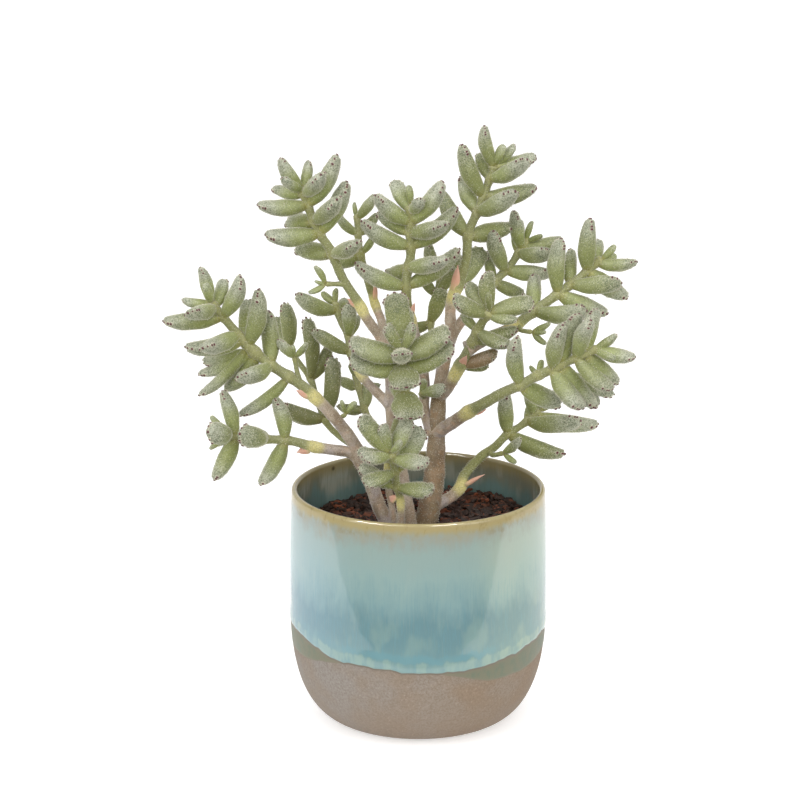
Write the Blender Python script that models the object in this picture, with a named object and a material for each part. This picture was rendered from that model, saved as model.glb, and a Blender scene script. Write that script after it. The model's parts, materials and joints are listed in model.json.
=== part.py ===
"""A furry-leaved succulent in a glazed stoneware pot, in metres, +Z up.

The origin is the centre of the pot's flat base. The plant is drawn as it is seen from 1.5 m in
front and 15.4 degrees above: a point is given in millimetres as (across, rise, back), where across
and rise are read off that view from the pot's axis and the middle of the plant's height, and back
is the real distance behind the pot's axis.
"""

import math
from dataclasses import dataclass

import bmesh
import bpy
from mathutils import Vector

MM = 0.001
GAP = 0.3  # clearance between touching pieces, mm

# The pot, mm
POT_HEIGHT = 120.0
POT_WIDEST = 65.0  # outer radius at the shoulder
POT_RIM = 64.0  # outer radius of the lip
POT_BASE = 36.0  # radius of the flat foot
POT_SHOULDER = 59.0  # height of the widest place
POT_ROUNDNESS = 2.4  # exponent of the superellipse from foot to shoulder
POT_WALL = 3.0
POT_LIP = 1.5  # radius of the rounded lip
POT_FLOOR = 6.0
POT_SEGMENTS = 40
POT_CURVE_STEPS = 6

# The soil, mm
SOIL_LEVEL = 100.0  # top of the soil on the right and at the back
SOIL_DIP = 4.0  # how much lower it lies on the left
ROOT_DEPTH = 26.0  # how far a stem's lower end goes down into the soil
SOCKET_ABOVE = 12.0  # how far the cut for a stem runs on above the soil

# The view that the plant is drawn in
VIEW_DISTANCE = 1500.0  # mm
VIEW_PITCH = math.radians(15.4)
VIEW_MIDDLE_X = -9.25  # mm
VIEW_MIDDLE_Z = 165.0  # mm

# Stems and leaves, mm
STEM_SIDES = 8
COLLAR_WALL = 0.8  # the sheath that joins two facing leaves round the stem
COLLAR_HALF = 1.8
LEAF_SIDES = 6
LEAF_WIDTH = 0.48  # greatest width as a share of the length
LEAF_THICKNESS = 0.27
LEAF_STATIONS = ((0.0, 0.28), (0.38, 0.88), (0.84, 0.86))  # (share of length, share of width)
LEAF_NARROWEST = 2.6


@dataclass(frozen=True)
class Pair:
    """Two facing leaves on a stem: their joint as seen, and each tip with its own reach back."""

    joint: tuple[float, float]
    tips: tuple[tuple[float, float, float], ...]


@dataclass(frozen=True)
class Shoot:
    """One stem with its leaves.

    The lowest pair is a node of its own where `apart` is 1; the others grow as one with the young
    tip. A stem with no parent stands in the soil.
    """

    name: str
    parent: str
    thick: tuple[float, float]  # radius at the lower end and at the tip
    path: tuple[tuple[float, float, float], ...]
    pairs: tuple[Pair, ...] = ()
    apart: int = 1


SHOOTS = (
    Shoot(
        "trunk", "", (6.4, 3.9),
        ((4, -61.5, 0), (6, -50, 0), (8, -37, 1), (9, -20, 2), (10, 1.5, 3)),
    ),
    Shoot(
        "top_left", "", (3.3, 2.0),
        (
            (-4, -61.5, -9), (-6, -50, -8), (-8, -38, -6), (-10, -25, -4), (-13, -12.5, -2),
            (-14, -2.5, 0), (-14, 10, -2), (-16, 24, -2), (-20, 32.5, -2), (-26, 41, -3),
            (-30, 48.5, -4), (-38, 61, -6), (-44, 75, -8), (-49, 82.5, -9), (-54, 93.5, -10),
            (-58, 106, -10),
        ),
        (
            Pair((-45, 72), ((-60, 77, 16), (-31, 78.5, -16))),
            Pair((-50, 83.5), ((-76, 82.5, -3), (-36, 108.5, 0))),
            Pair((-53, 89), ((-64, 91, 18), (-41, 100, -15))),
            Pair((-55, 97), ((-80, 97.5, -3), (-41, 122, 0))),
            Pair((-57, 101.5), ((-72, 106, 12), (-49, 112.5, -14))),
            Pair((-58, 105), ((-69, 120.5, -2), (-68, 111, -7), (-55, 119.5, 3))),
        ),
    ),
    Shoot(
        "left", "", (3.9, 1.9),
        (
            (-16, -61.5, -4), (-20, -52.5, -6), (-24, -40.5, -8), (-26, -35, -9), (-31, -24, -10),
            (-37, -15, -11), (-44, -6.5, -12), (-52, 1.5, -13), (-60, 8.5, -14), (-76, 19, -16),
            (-87, 29, -18), (-96, 39.5, -20), (-104, 48.5, -22),
        ),
        (
            Pair((-66, 12), ((-89, -7, 4),)),
            Pair((-74, 18), ((-76, 44, 10), (-90, 11.5, -16))),
            Pair((-80, 23), ((-96, 6, 12),)),
            Pair((-86, 27), ((-109, 3, 8), (-80, 54.5, -6))),
            Pair((-88, 30), ((-116, 26.5, -6), (-86, 49.5, 14))),
            Pair((-90, 33), ((-107.5, 26, -18),)),
            Pair((-98, 41), ((-127, 39.5, 0), (-89, 61, -6))),
            Pair((-101, 45), ((-115, 43.5, -16), (-98, 60, 12))),
            Pair((-104, 48), ((-109, 66, 0), (-118, 50, 0), (-107, 58, -5))),
        ),
    ),
    Shoot(
        "low_left", "left", (3.0, 1.6),
        (
            (-28, -32, -9), (-34, -26.5, -10), (-42, -25, -12), (-52, -23.5, -14),
            (-61, -21, -16), (-67, -20, -17), (-77, -19.5, -19), (-90, -18, -22), (-98, -17.5, -23),
        ),
        (
            Pair((-67, -20), ((-72, 1, 2), (-79, -41.5, 2))),
            Pair((-77, -19.5), ((-89, -17, -20), (-86, -19, 20))),
            Pair((-91, -18), ((-98, 4, 2), (-102, -39, 2))),
            Pair((-94, -18), ((-105, -16, -19), (-102, -20, 14))),
            Pair((-97, -17.5), ((-104, -8, 1), (-104.5, -24.5, 1))),
        ),
    ),
    Shoot(
        "behind_left", "left", (1.7, 1.4),
        (
            (-31.5, -23, -9), (-37, -20, 2), (-46, -11.5, 12), (-51, 1.5, 21), (-54, 10.5, 27),
            (-60, 19, 33), (-65, 26, 37), (-68, 31, 39),
        ),
        (
            Pair((-47, -9.5), ((-68, -3, 4), (-43, 21, 4))),
            Pair((-54, 11), ((-56, 40.5, 0), (-46, 27.5, 6))),
            Pair((-65, 26), ((-67, 48, 2), (-71, 41, 12))),
        ),
    ),
    Shoot(
        "inner_left", "top_left", (2.6, 1.5),
        (
            (-14, -2.5, 0), (-22, 5, 5), (-29, 13, 10), (-34, 24, 16), (-35, 32, 20),
            (-38.5, 38.5, 23), (-41, 45.5, 26), (-41, 49, 27),
        ),
        (
            Pair((-34, 24), ((-52, 34.5, 2),)),
            Pair((-35, 31.5), ((-35, 48, -4), (-30, 42, 8))),
            Pair((-41, 44.5), ((-61, 52.5, -2), (-37, 50.5, 12))),
            Pair((-41, 48), ((-41, 56, 4), (-48, 54, 8))),
        ),
    ),
    Shoot(
        "centre", "trunk", (2.6, 1.8),
        (
            (7, -17, 2), (3, -5, 4), (3, 11, 5), (-1, 30, 2), (-5, 45, 0), (-6, 53, -2),
            (-6, 61, -3), (-4, 71.5, -4), (-4, 82, -5), (-4, 90, -6), (-4, 97.5, -6),
        ),
        (
            Pair((-6, 57.5), ((-31, 68, -6), (20, 75, 4))),
            Pair((-5, 67), ((13.5, 70, -16), (-12, 64, 20))),
            Pair((-5, 76.5), ((-28, 89, -6), (19, 95.5, 4))),
            Pair((-4, 83), ((13, 87.5, -15), (-18, 95, 12))),
            Pair((-4, 89), ((-21, 102, -4), (12, 108.5, -2))),
            Pair((-4, 93.5), ((-12, 109.5, 8), (1, 100.5, -10))),
            Pair((-4, 97), ((-5, 107.5, 0),)),
        ),
    ),
    Shoot(
        "behind_centre", "top_left", (2.4, 1.5),
        (
            (-15, 19, -2), (-18, 37.5, 10), (-21, 46, 15), (-24, 55, 20), (-28, 69, 26),
            (-30, 80, 30), (-30.5, 89, 32), (-31, 93, 33),
        ),
        (
            Pair((-30, 72), ((-22, 83, 4), (-42, 69, 14))),
            Pair((-30.5, 83), ((-41, 93, 0), (-21, 93, 8))),
            Pair((-30.5, 90), ((-22, 102.5, 0), (-32, 99, 3))),
        ),
        0,
    ),
    Shoot(
        "front", "", (1.6, 1.9),
        (
            (-12, -61.5, -23), (-15, -43.5, -26), (-15, -27.5, -27), (-12, -14, -28),
            (-7, 2.5, -31), (-8, 15, -36), (-8, 25, -42),
        ),
        (
            Pair((-7, 4), ((-4, -9, -18), (-10, 7.5, 20))),
            Pair((-8, 14.5), ((-34, 20.5, -4), (17, 27, -4))),
            Pair((-8, 17.5), ((-6, 6.5, -17), (-4, 48.5, 8))),
            Pair((-8, 21.5), ((-34, 29, -2), (15, 35, -2))),
            Pair((-8, 23), ((-8, 23, -20), (-12, 53, 0))),
            Pair((-8, 25), ((-16, 37, -4), (-3, 38, -4))),
        ),
    ),
    Shoot(
        "low_front", "", (2.0, 1.8),
        ((-9, -65, -30), (-9, -51, -32), (-11, -42.5, -36), (-12, -34, -40), (-14, -26, -45)),
        (
            Pair((-11, -43.5), ((7, -45, -8), (-29, -33, 4))),
            Pair((-12, -36), ((-27, -41.5, -10), (1, -14, 8))),
            Pair((-13, -30), ((4, -31.5, -12), (-30, -25.5, 4))),
            Pair((-13, -28), ((-28, -28.5, -10), (-5, -9.5, 2))),
            Pair((-14, -26), ((-29, -9, -2), (-9, -20.5, -6), (-18, -12.5, -3))),
        ),
    ),
    Shoot(
        "top_right", "trunk", (3.3, 1.8),
        (
            (10, 1.5, 3), (12, 15, 4), (15, 27.5, 6), (16, 35, 8), (16, 46, 10), (18, 53.5, 11),
            (21, 60.5, 12), (24, 71, 13), (25, 83.5, 14), (30, 95.5, 15), (36, 111.5, 16),
            (38, 117.5, 16),
        ),
        (
            Pair((25, 82.5), ((12, 103.5, 6), (46.5, 85, 4))),
            Pair((29, 95), ((22, 111, 12), (48, 104, -12))),
            Pair((32, 101.5), ((22, 127, -4), (58, 106.5, 8))),
            Pair((35, 110), ((30.5, 123, 10), (54, 120, -10))),
            Pair((37, 116), ((33, 136.5, -2), (58, 122, 6))),
            Pair((38, 117.5), ((43, 127.5, -3), (48, 127.5, 1))),
        ),
    ),
    Shoot(
        "behind_right", "top_right", (2.7, 1.6),
        (
            (15, 29, 6), (18, 34.5, 9), (23, 41, 13), (31, 50, 17), (39, 60, 21), (46, 67.5, 24),
            (50, 73.5, 26), (55, 81, 28),
        ),
        (
            Pair((39, 59), ((35, 73, 10), (52, 54, 8))),
            Pair((43, 65), ((37.5, 83, 3), (66, 63.5, -2))),
            Pair((50, 73), ((66, 74, -12), (51, 89.5, 12))),
            Pair((52, 76), ((48, 94, -2), (71.5, 80.5, 4))),
            Pair((54, 79), ((57, 89.5, 0), (62, 82.5, -3))),
        ),
    ),
    Shoot(
        "inner_right", "top_right", (3.2, 2.0),
        ((11, 3.5, 2), (14, 7, -3), (17, 15, -7), (25, 27, -12), (31, 37.5, -16), (36, 44.5, -20)),
        (
            Pair((29.5, 34), ((46, 27.5, -12), (22, 43, 8))),
            Pair((34, 41.5), ((18, 50.5, -8), (49, 40, -6))),
            Pair((35, 43.5), ((25, 58.5, 8), (57, 49, 2))),
            Pair((36, 45), ((35, 64, 2), (35, 53.5, -4))),
        ),
    ),
    Shoot(
        "far_right", "inner_right", (3.2, 1.7),
        (
            (24, 25.5, -11), (36, 31.5, -7), (47, 36, -3), (54, 41.5, -1), (60, 46, 1),
            (69, 52.5, 3), (79, 60, 6), (89, 68.5, 8), (92, 70.5, 8),
        ),
        (
            Pair((58, 44.5), ((59, 62, 14), (83.5, 44.5, -10))),
            Pair((70, 53), ((71, 80, 0), (94, 43.5, 2))),
            Pair((76, 57.5), ((77, 74.5, 14), (101, 58.5, -8))),
            Pair((84, 64), ((86, 90, -2), (104, 52, 6))),
            Pair((89, 68), ((91, 79.5, 12), (109, 69, -2))),
            Pair((91, 70), ((98.5, 77.5, 2), (99, 72.5, 5))),
        ),
    ),
    Shoot(
        "right", "trunk", (3.4, 1.7),
        (
            (9, -16, 2), (16, -12, -5), (25, -6, -12), (33, -1.5, -18), (43, 4, -24),
            (51, 7.5, -28), (59, 12, -31), (66, 15, -34), (73, 18.5, -36), (79, 21, -38),
            (90, 26, -41),
        ),
        (
            Pair((51, 7.5), ((49, 30.5, -8), (70.5, -1, 10))),
            Pair((67, 15), ((72, 37, -8), (82, -4, -8))),
            Pair((72, 18), ((80, 42.5, 4), (88, -2.5, 4))),
            Pair((79, 21), ((86, 39.5, -8), (96.5, 5.5, -8))),
            Pair((84, 23), ((89, 45, 6), (99.5, 9.5, 6))),
            Pair((88, 25), ((108, 21.5, -2), (99, 32.5, 2), (98.5, 21, -7))),
        ),
    ),
    Shoot(
        "low_right", "trunk", (3.1, 1.6),
        (
            (7, -53, 2), (16, -48.5, 8), (21, -43.5, 11), (23, -37.5, 14), (31, -28.5, 18),
            (38, -23.5, 21), (44, -17.5, 23), (51, -13, 25), (57, -8.5, 27), (61, -5.5, 28),
        ),
        (
            Pair((45, -17), ((44, 4, 2), (72.5, -27, -2))),
            Pair((54, -10.5), ((80.5, -10.5, -12), (63, 2.5, 14))),
            Pair((58, -7.5), ((55, 6, 2), (89, -12, 6))),
            Pair((61, -5.5), ((69, 1, 2),)),
        ),
    ),
    Shoot(
        "behind_middle", "top_right", (1.9, 1.4),
        ((12, 16, 4), (9, 27.5, 16), (6, 37.5, 26), (8, 48.5, 34), (10, 57.5, 39), (11, 62.5, 41)),
        (
            Pair((6, 39), ((12, 55.5, 2), (-7, 35, 6))),
            Pair((9, 52), ((17, 67.5, 4), (1, 65, 4))),
            Pair((11, 61), ((5, 78.5, 6), (21, 72, 6))),
        ),
        0,
    ),
    Shoot(
        "behind_low", "top_left", (1.8, 1.4),
        ((-10, -25, -4), (-19, -16, 8), (-26, -7, 16), (-29, 2.5, 22), (-31, 10, 26), (-32, 14, 28)),
        (
            Pair((-27, -5), ((-26, 7.5, 10), (-40, -3, 8))),
            Pair((-30, 6), ((-39, 10.5, 12), (-20, 7.5, 10))),
            Pair((-31.5, 12), ((-34, 18.5, -2), (-28, 20, 3))),
        ),
        0,
    ),
)

# Little side shoots, each grown as one with its few small leaves
SPRIGS = (
    Shoot(
        "sprig_left", "left", (1.3, 1.1), ((-59, 7.5, -14), (-61, 15.5, -13), (-62, 22.5, -12)),
        (
            Pair((-62, 21), ((-70, 30, -4), (-56, 28.5, -4))),
            Pair((-62, 22.5), ((-63, 27.5, -2),)),
        ),
        0,
    ),
    Shoot(
        "sprig_left_base", "left", (1.0, 0.9), ((-41, -10, -11.5), (-36, -7, -9)),
        (Pair((-36, -7), ((-38.5, 0, -1), (-31, -1, -1))),),
        0,
    ),
    Shoot(
        "sprig_top_left", "top_left", (1.3, 1.1), ((-35, 58, -5.5), (-42, 58, -9), (-46.5, 58, -11)),
        (Pair((-46, 58), ((-52, 67, -1), (-52, 59.5, -1), (-55, 53.5, -3))),),
        0,
    ),
    Shoot(
        "sprig_far_right", "far_right", (1.2, 1.0), ((50, 38.5, -2.5), (51, 35, -6), (57, 34, -8)),
        (Pair((57, 34), ((66, 38.5, 0), (64, 34, -2), (64, 28, 0))),),
        0,
    ),
    Shoot(
        "sprig_low_right", "low_right", (1.3, 1.1), ((36, -25, 20), (37, -27.5, 16), (42.5, -26.5, 13)),
        (Pair((42.5, -26.5), ((51, -19.5, -4), (49, -24, 0), (49, -31.5, 0))),),
        0,
    ),
    Shoot(
        "sprig_centre", "centre", (1.3, 1.1), ((3, 1, 4.5), (1, 3.5, -1)),
        (Pair((1, 3.5), ((13, 5.5, -9), (3, 10.5, -3))),),
        0,
    ),
)


def in_view(across, rise, back):
    """The real place, in mm, of a point given as it is seen and by its distance back."""
    sine, cosine = math.sin(VIEW_PITCH), math.cos(VIEW_PITCH)
    height = rise * (1 + cosine * back / VIEW_DISTANCE) - sine * back
    height /= cosine + sine * rise / VIEW_DISTANCE
    depth = VIEW_DISTANCE + cosine * back - sine * height
    x = (across - VIEW_MIDDLE_X) * depth / VIEW_DISTANCE + VIEW_MIDDLE_X
    return Vector((x, back, VIEW_MIDDLE_Z + height))


class Route:
    """A stem's middle line, in mm, with the radius along it."""

    def __init__(self, shoot):
        self.points = [in_view(*point) for point in shoot.path]
        self.seen = [Vector(point[:2]) for point in shoot.path]
        if not shoot.parent:
            first = self.points[0]
            self.points.insert(0, Vector((first.x, first.y, SOIL_LEVEL - ROOT_DEPTH)))
            self.seen.insert(0, Vector((self.seen[0].x, self.seen[0].y - ROOT_DEPTH)))
        self.thick = shoot.thick
        self.marks = [0.0]
        for here, there in zip(self.points, self.points[1:]):
            self.marks.append(self.marks[-1] + (there - here).length)

    @property
    def length(self):
        return self.marks[-1]

    def place(self, along):
        """The point and direction at a distance along the stem."""
        last = len(self.points) - 2
        index = min(max(sum(mark <= along for mark in self.marks) - 1, 0), last)
        span = self.marks[index + 1] - self.marks[index]
        step = self.points[index + 1] - self.points[index]
        return self.points[index] + step * ((along - self.marks[index]) / span), step / span

    def radius(self, along):
        start, end = self.thick
        return start + (end - start) * along / self.length

    def nearest(self, seen):
        """The distance along the stem of the point that is seen nearest to the given one."""
        target = Vector(seen)
        best = (math.inf, 0.0)
        for index, (here, there) in enumerate(zip(self.seen, self.seen[1:])):
            step = there - here
            share = min(max((target - here).dot(step) / step.length_squared, 0.0), 1.0)
            miss = (here + step * share - target).length
            span = self.marks[index + 1] - self.marks[index]
            best = min(best, (miss, self.marks[index] + share * span))
        return best[1]

    def stretch(self, start, end, swell=0.0):
        """Points and radii from start to end, the radius made larger by swell."""
        inside = [mark for mark in self.marks if start + 0.5 < mark < end - 0.5]
        places = [start, *inside, end]
        return [(self.place(at)[0], self.radius(at) + swell) for at in places]


def new_mesh(name, shape):
    bmesh.ops.recalc_face_normals(shape, faces=shape.faces)
    mesh = bpy.data.meshes.new(name)
    shape.to_mesh(mesh)
    shape.free()
    return mesh


def add_rings(shape, rings):
    """Bridges rings of corners, each a list of points, and closes both ends."""
    loops = [[shape.verts.new(point) for point in ring] for ring in rings]
    for lower, upper in zip(loops, loops[1:]):
        for index, corner in enumerate(lower):
            after = (index + 1) % len(lower)
            if len(upper) == 1:
                shape.faces.new((corner, lower[after], upper[0]))
            else:
                shape.faces.new((corner, lower[after], upper[after], upper[index]))
    shape.faces.new(reversed(loops[0]))
    if len(loops[-1]) > 1:
        shape.faces.new(loops[-1])


def ring_at(centre, across, over, width, thickness, sides):
    """A ring of corners round a centre, an ellipse with the given half width and half thickness."""
    turns = (math.tau * index / sides for index in range(sides))
    return [
        (centre + across * (width * math.cos(turn)) + over * (thickness * math.sin(turn))) * MM
        for turn in turns
    ]


def tube(stretch):
    """A closed tube through points with radii, its corners carried along without twist."""
    shape = bmesh.new()
    points = [point for point, _ in stretch]
    rings = []
    side = (points[1] - points[0]).orthogonal().normalized()
    for index, (point, radius) in enumerate(stretch):
        before = points[max(index - 1, 0)]
        after = points[min(index + 1, len(points) - 1)]
        direction = (after - before).normalized()
        side = (side - direction * side.dot(direction)).normalized()
        rings.append(ring_at(point, side, direction.cross(side), radius, radius, STEM_SIDES))
    add_rings(shape, rings)
    return new_mesh("tube", shape)


def leaf(base, tip, stem_direction):
    """A plain thick leaf from its joint to its tip, its flat side towards the stem's tip."""
    reach = tip - base
    length = reach.length
    direction = reach / length
    across = stem_direction.cross(direction)
    if across.length < 0.2:
        across = direction.orthogonal()
    across.normalize()
    over = direction.cross(across)
    width = max(LEAF_WIDTH * length, LEAF_NARROWEST) / 2
    thickness = max(LEAF_THICKNESS * length, LEAF_NARROWEST * 0.8) / 2
    shape = bmesh.new()
    rings = [
        ring_at(base + reach * share, across, over, width * wide, thickness * wide, LEAF_SIDES)
        for share, wide in LEAF_STATIONS
    ]
    rings.append([tip * MM])
    add_rings(shape, rings)
    return new_mesh("leaf", shape)


def helper(mesh, collection):
    """An object that only takes part in a Boolean."""
    made = bpy.data.objects.new("helper", mesh)
    made.hide_render = True
    made.display_type = "WIRE"
    collection.objects.link(made)
    return made


def node(name, solids, cutters, material):
    """One closed body: the solids joined, less the cutters."""
    joined = bpy.data.collections.new("joined")
    cut = bpy.data.collections.new("cut")
    for collection in (joined, cut):
        bpy.context.scene.collection.children.link(collection)
    made = bpy.data.objects.new(name, solids[0])
    bpy.context.scene.collection.objects.link(made)
    helpers = [helper(mesh, joined) for mesh in solids[1:]]
    helpers += [helper(mesh, cut) for mesh in cutters]
    for collection, operation in ((joined, "UNION"), (cut, "DIFFERENCE")):
        if collection.objects:
            boolean = made.modifiers.new(operation.title(), "BOOLEAN")
            boolean.operation = operation
            boolean.operand_type = "COLLECTION"
            boolean.collection = collection
            boolean.solver = "EXACT"
    graph = bpy.context.evaluated_depsgraph_get()
    mesh = bpy.data.meshes.new_from_object(made.evaluated_get(graph))
    made.modifiers.clear()
    made.data = mesh
    mesh.name = name
    mesh.materials.clear()
    mesh.materials.append(material)
    for each in helpers:
        bpy.data.objects.remove(each)
    for collection in (joined, cut):
        bpy.data.collections.remove(collection)
    return made


def new_material(name, colour, roughness):
    material = bpy.data.materials.new(name)
    material.use_nodes = True
    principled = material.node_tree.nodes["Principled BSDF"]
    principled.inputs["Base Color"].default_value = (*colour, 1.0)
    principled.inputs["Roughness"].default_value = roughness
    principled.inputs["Metallic"].default_value = 0.0
    return material


def superellipse(foot, widest, shoulder, steps):
    """Points (radius, height) of the belly, from the foot's edge up to the shoulder."""
    points = []
    for step in range(steps + 1):
        turn = math.pi / 2 * step / steps
        radius = foot + (widest - foot) * math.sin(turn) ** (2 / POT_ROUNDNESS)
        height = shoulder * (1 - math.cos(turn) ** (2 / POT_ROUNDNESS))
        points.append((radius, height))
    return points


def pot_outline():
    """The pot's half section, from the middle of its foot round the lip to the inside floor."""
    lip_height = POT_HEIGHT - POT_LIP
    lip_middle = POT_RIM - POT_LIP
    lip = [
        (lip_middle + POT_LIP * math.cos(turn), lip_height + POT_LIP * math.sin(turn))
        for turn in (0.0, math.pi / 4, math.pi / 2, 3 * math.pi / 4, math.pi)
    ]
    outside = superellipse(POT_BASE, POT_WIDEST, POT_SHOULDER, POT_CURVE_STEPS)
    outside.append(((POT_WIDEST + POT_RIM) / 2, (POT_SHOULDER + lip_height) / 2))
    return [(0.0, 0.0), *outside, *lip, *reversed(inside_outline())]


def inside_outline():
    """The inside wall's half section, from the middle of the floor up to the shoulder's height."""
    belly = superellipse(
        POT_BASE - POT_WALL, POT_WIDEST - POT_WALL, POT_SHOULDER - POT_FLOOR, POT_CURVE_STEPS
    )
    return [(0.0, POT_FLOOR), *((radius, height + POT_FLOOR) for radius, height in belly)]


def turned(outline, segments):
    """A solid turned from a half section whose ends lie on the axis."""
    shape = bmesh.new()
    corners = [shape.verts.new(Vector((radius, 0.0, height)) * MM) for radius, height in outline]
    for here, there in zip(corners, corners[1:]):
        shape.edges.new((here, there))
    bmesh.ops.spin(
        shape, geom=shape.verts[:] + shape.edges[:], cent=(0, 0, 0), axis=(0, 0, 1),
        angle=math.tau, steps=segments, use_merge=True,
    )
    bmesh.ops.remove_doubles(shape, verts=shape.verts, dist=1e-6)
    return new_mesh("turned", shape)


def soil_outline():
    """The soil fills the inside up to its level, clear of the wall by the gap."""
    inside = inside_outline()
    widest, shoulder = inside[-1]
    mouth = POT_RIM - 2 * POT_LIP
    share = (SOIL_LEVEL - shoulder) / (POT_HEIGHT - POT_LIP - shoulder)
    edge = widest + (mouth - widest) * share
    wall = [(max(radius - GAP, 0.0), height + GAP) for radius, height in inside]
    return [*wall, (edge - GAP, SOIL_LEVEL), (0.0, SOIL_LEVEL)]


def make_pot(material):
    return node("pot", [turned(pot_outline(), POT_SEGMENTS)], [], material)


def make_soil(routes, material):
    mesh = turned(soil_outline(), POT_SEGMENTS)
    for corner in mesh.vertices:
        if corner.co.z > (SOIL_LEVEL - SOIL_DIP) * MM:
            corner.co.z -= SOIL_DIP * MM * max(-corner.co.x, 0.0) / (POT_WIDEST * MM)
    sockets = [tube(route.stretch(-GAP, ROOT_DEPTH + SOCKET_ABOVE, GAP)) for route in routes]
    return node("soil", [mesh], sockets, material)


def leaves_of(route, pair):
    """The leaves of one pair as plain solids, from the stem's middle line outwards."""
    along = route.nearest(pair.joint)
    base, direction = route.place(along)
    leaves = []
    for across, rise, reach_back in pair.tips:
        tip = in_view(across, rise, base.y + reach_back)
        leaves.append(leaf(base, tip, direction))
    return along, leaves


def seats(shoot, routes):
    """The stems that this one grows from, each made larger by the gap, to cut its foot to fit."""
    parents = {each.name: each.parent for each in SHOOTS}
    found = []
    name = shoot.parent
    while name:
        found.append(tube(routes[name].stretch(0.0, routes[name].length, GAP)))
        name = parents[name]
    return found


def make_shoot(shoot, routes, materials):
    """The stem, its separate lower pairs, and its young tip with the other leaves."""
    route = routes[shoot.name]
    bark, green = materials
    joints = [route.nearest(pair.joint) for pair in shoot.pairs]
    tip_start = route.length
    if shoot.pairs:
        low = joints[shoot.apart - 1] if shoot.apart else joints[0] - 2 * COLLAR_HALF - 6
        tip_start = (low + joints[shoot.apart]) / 2
    lower_stems = seats(shoot, routes)
    node(f"stem_{shoot.name}", [tube(route.stretch(0.0, tip_start - GAP))], lower_stems, bark)
    bore = tube(route.stretch(0.0, route.length, GAP))
    for pair in shoot.pairs[: shoot.apart]:
        along, leaves = leaves_of(route, pair)
        collar = tube(route.stretch(along - COLLAR_HALF, along + COLLAR_HALF, GAP + COLLAR_WALL))
        node(f"leaves_{shoot.name}", [collar, *leaves], [bore], green)
    if shoot.pairs:
        solids = [tube(route.stretch(tip_start, route.length))]
        for pair in shoot.pairs[shoot.apart :]:
            solids += leaves_of(route, pair)[1]
        node(f"tip_{shoot.name}", solids, [], green)


def make_sprig(sprig, routes, material):
    """A side shoot: its thin stem and small leaves in one piece, seated on its parent."""
    route = routes[sprig.name]
    solids = [tube(route.stretch(0.0, route.length))]
    for pair in sprig.pairs:
        solids += leaves_of(route, pair)[1]
    node(sprig.name, solids, seats(sprig, routes), material)


def clear_scene():
    for each in list(bpy.data.objects):
        bpy.data.objects.remove(each)


def main():
    clear_scene()
    glaze = new_material("glaze", (0.36, 0.53, 0.53), 0.15)
    bark_chips = new_material("bark_chips", (0.09, 0.04, 0.03), 0.9)
    bark = new_material("stem_bark", (0.36, 0.29, 0.22), 0.8)
    green = new_material("leaf_green", (0.30, 0.38, 0.20), 0.75)
    routes = {shoot.name: Route(shoot) for shoot in (*SHOOTS, *SPRIGS)}
    make_pot(glaze)
    make_soil([routes[shoot.name] for shoot in SHOOTS if not shoot.parent], bark_chips)
    for shoot in SHOOTS:
        make_shoot(shoot, routes, (bark, green))
    for sprig in SPRIGS:
        make_sprig(sprig, routes, green)


if __name__ == "__main__":
    main()
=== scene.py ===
"""Looks of the potted furry-leaved succulent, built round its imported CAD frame.

Sizes are in millimetres until a mesh is made, and in metres in every mesh. The origin is the centre
of the pot's flat base, +Z is up, and the viewer is on the -Y side.
"""

import json
import logging
import math
import random
import zlib
from collections.abc import Callable, Iterable, Sequence
from dataclasses import dataclass
from enum import Enum
from functools import cached_property

import bmesh
import bpy
import numpy as np
from bpy.types import ID, Material, Mesh, Node, NodeSocket, NodeTree, Object
from mathutils import Matrix, Vector, kdtree, noise

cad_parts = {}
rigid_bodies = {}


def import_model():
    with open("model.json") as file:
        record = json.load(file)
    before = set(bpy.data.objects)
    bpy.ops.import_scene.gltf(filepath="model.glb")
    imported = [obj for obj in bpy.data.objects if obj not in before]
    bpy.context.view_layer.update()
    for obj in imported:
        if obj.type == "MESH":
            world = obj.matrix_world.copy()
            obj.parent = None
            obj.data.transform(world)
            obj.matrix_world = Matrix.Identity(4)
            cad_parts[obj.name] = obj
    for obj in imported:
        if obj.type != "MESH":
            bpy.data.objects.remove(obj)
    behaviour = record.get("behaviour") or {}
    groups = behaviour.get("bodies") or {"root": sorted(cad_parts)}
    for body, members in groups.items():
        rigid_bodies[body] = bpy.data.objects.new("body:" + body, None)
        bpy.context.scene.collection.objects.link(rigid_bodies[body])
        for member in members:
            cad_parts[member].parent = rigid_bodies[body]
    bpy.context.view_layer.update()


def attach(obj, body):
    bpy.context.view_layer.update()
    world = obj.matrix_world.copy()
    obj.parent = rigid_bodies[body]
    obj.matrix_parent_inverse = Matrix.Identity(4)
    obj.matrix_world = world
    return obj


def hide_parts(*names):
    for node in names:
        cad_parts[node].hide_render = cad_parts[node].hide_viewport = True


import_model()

LOG = logging.getLogger("succulent")
MM = 0.001
Colour = tuple[float, float, float]
Point = tuple[float, float, float]
Seen = tuple[float, float]
Span = tuple[float, float]
SOIL_LEVEL = 100.0
ROOT_DEPTH = 10.0


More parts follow.
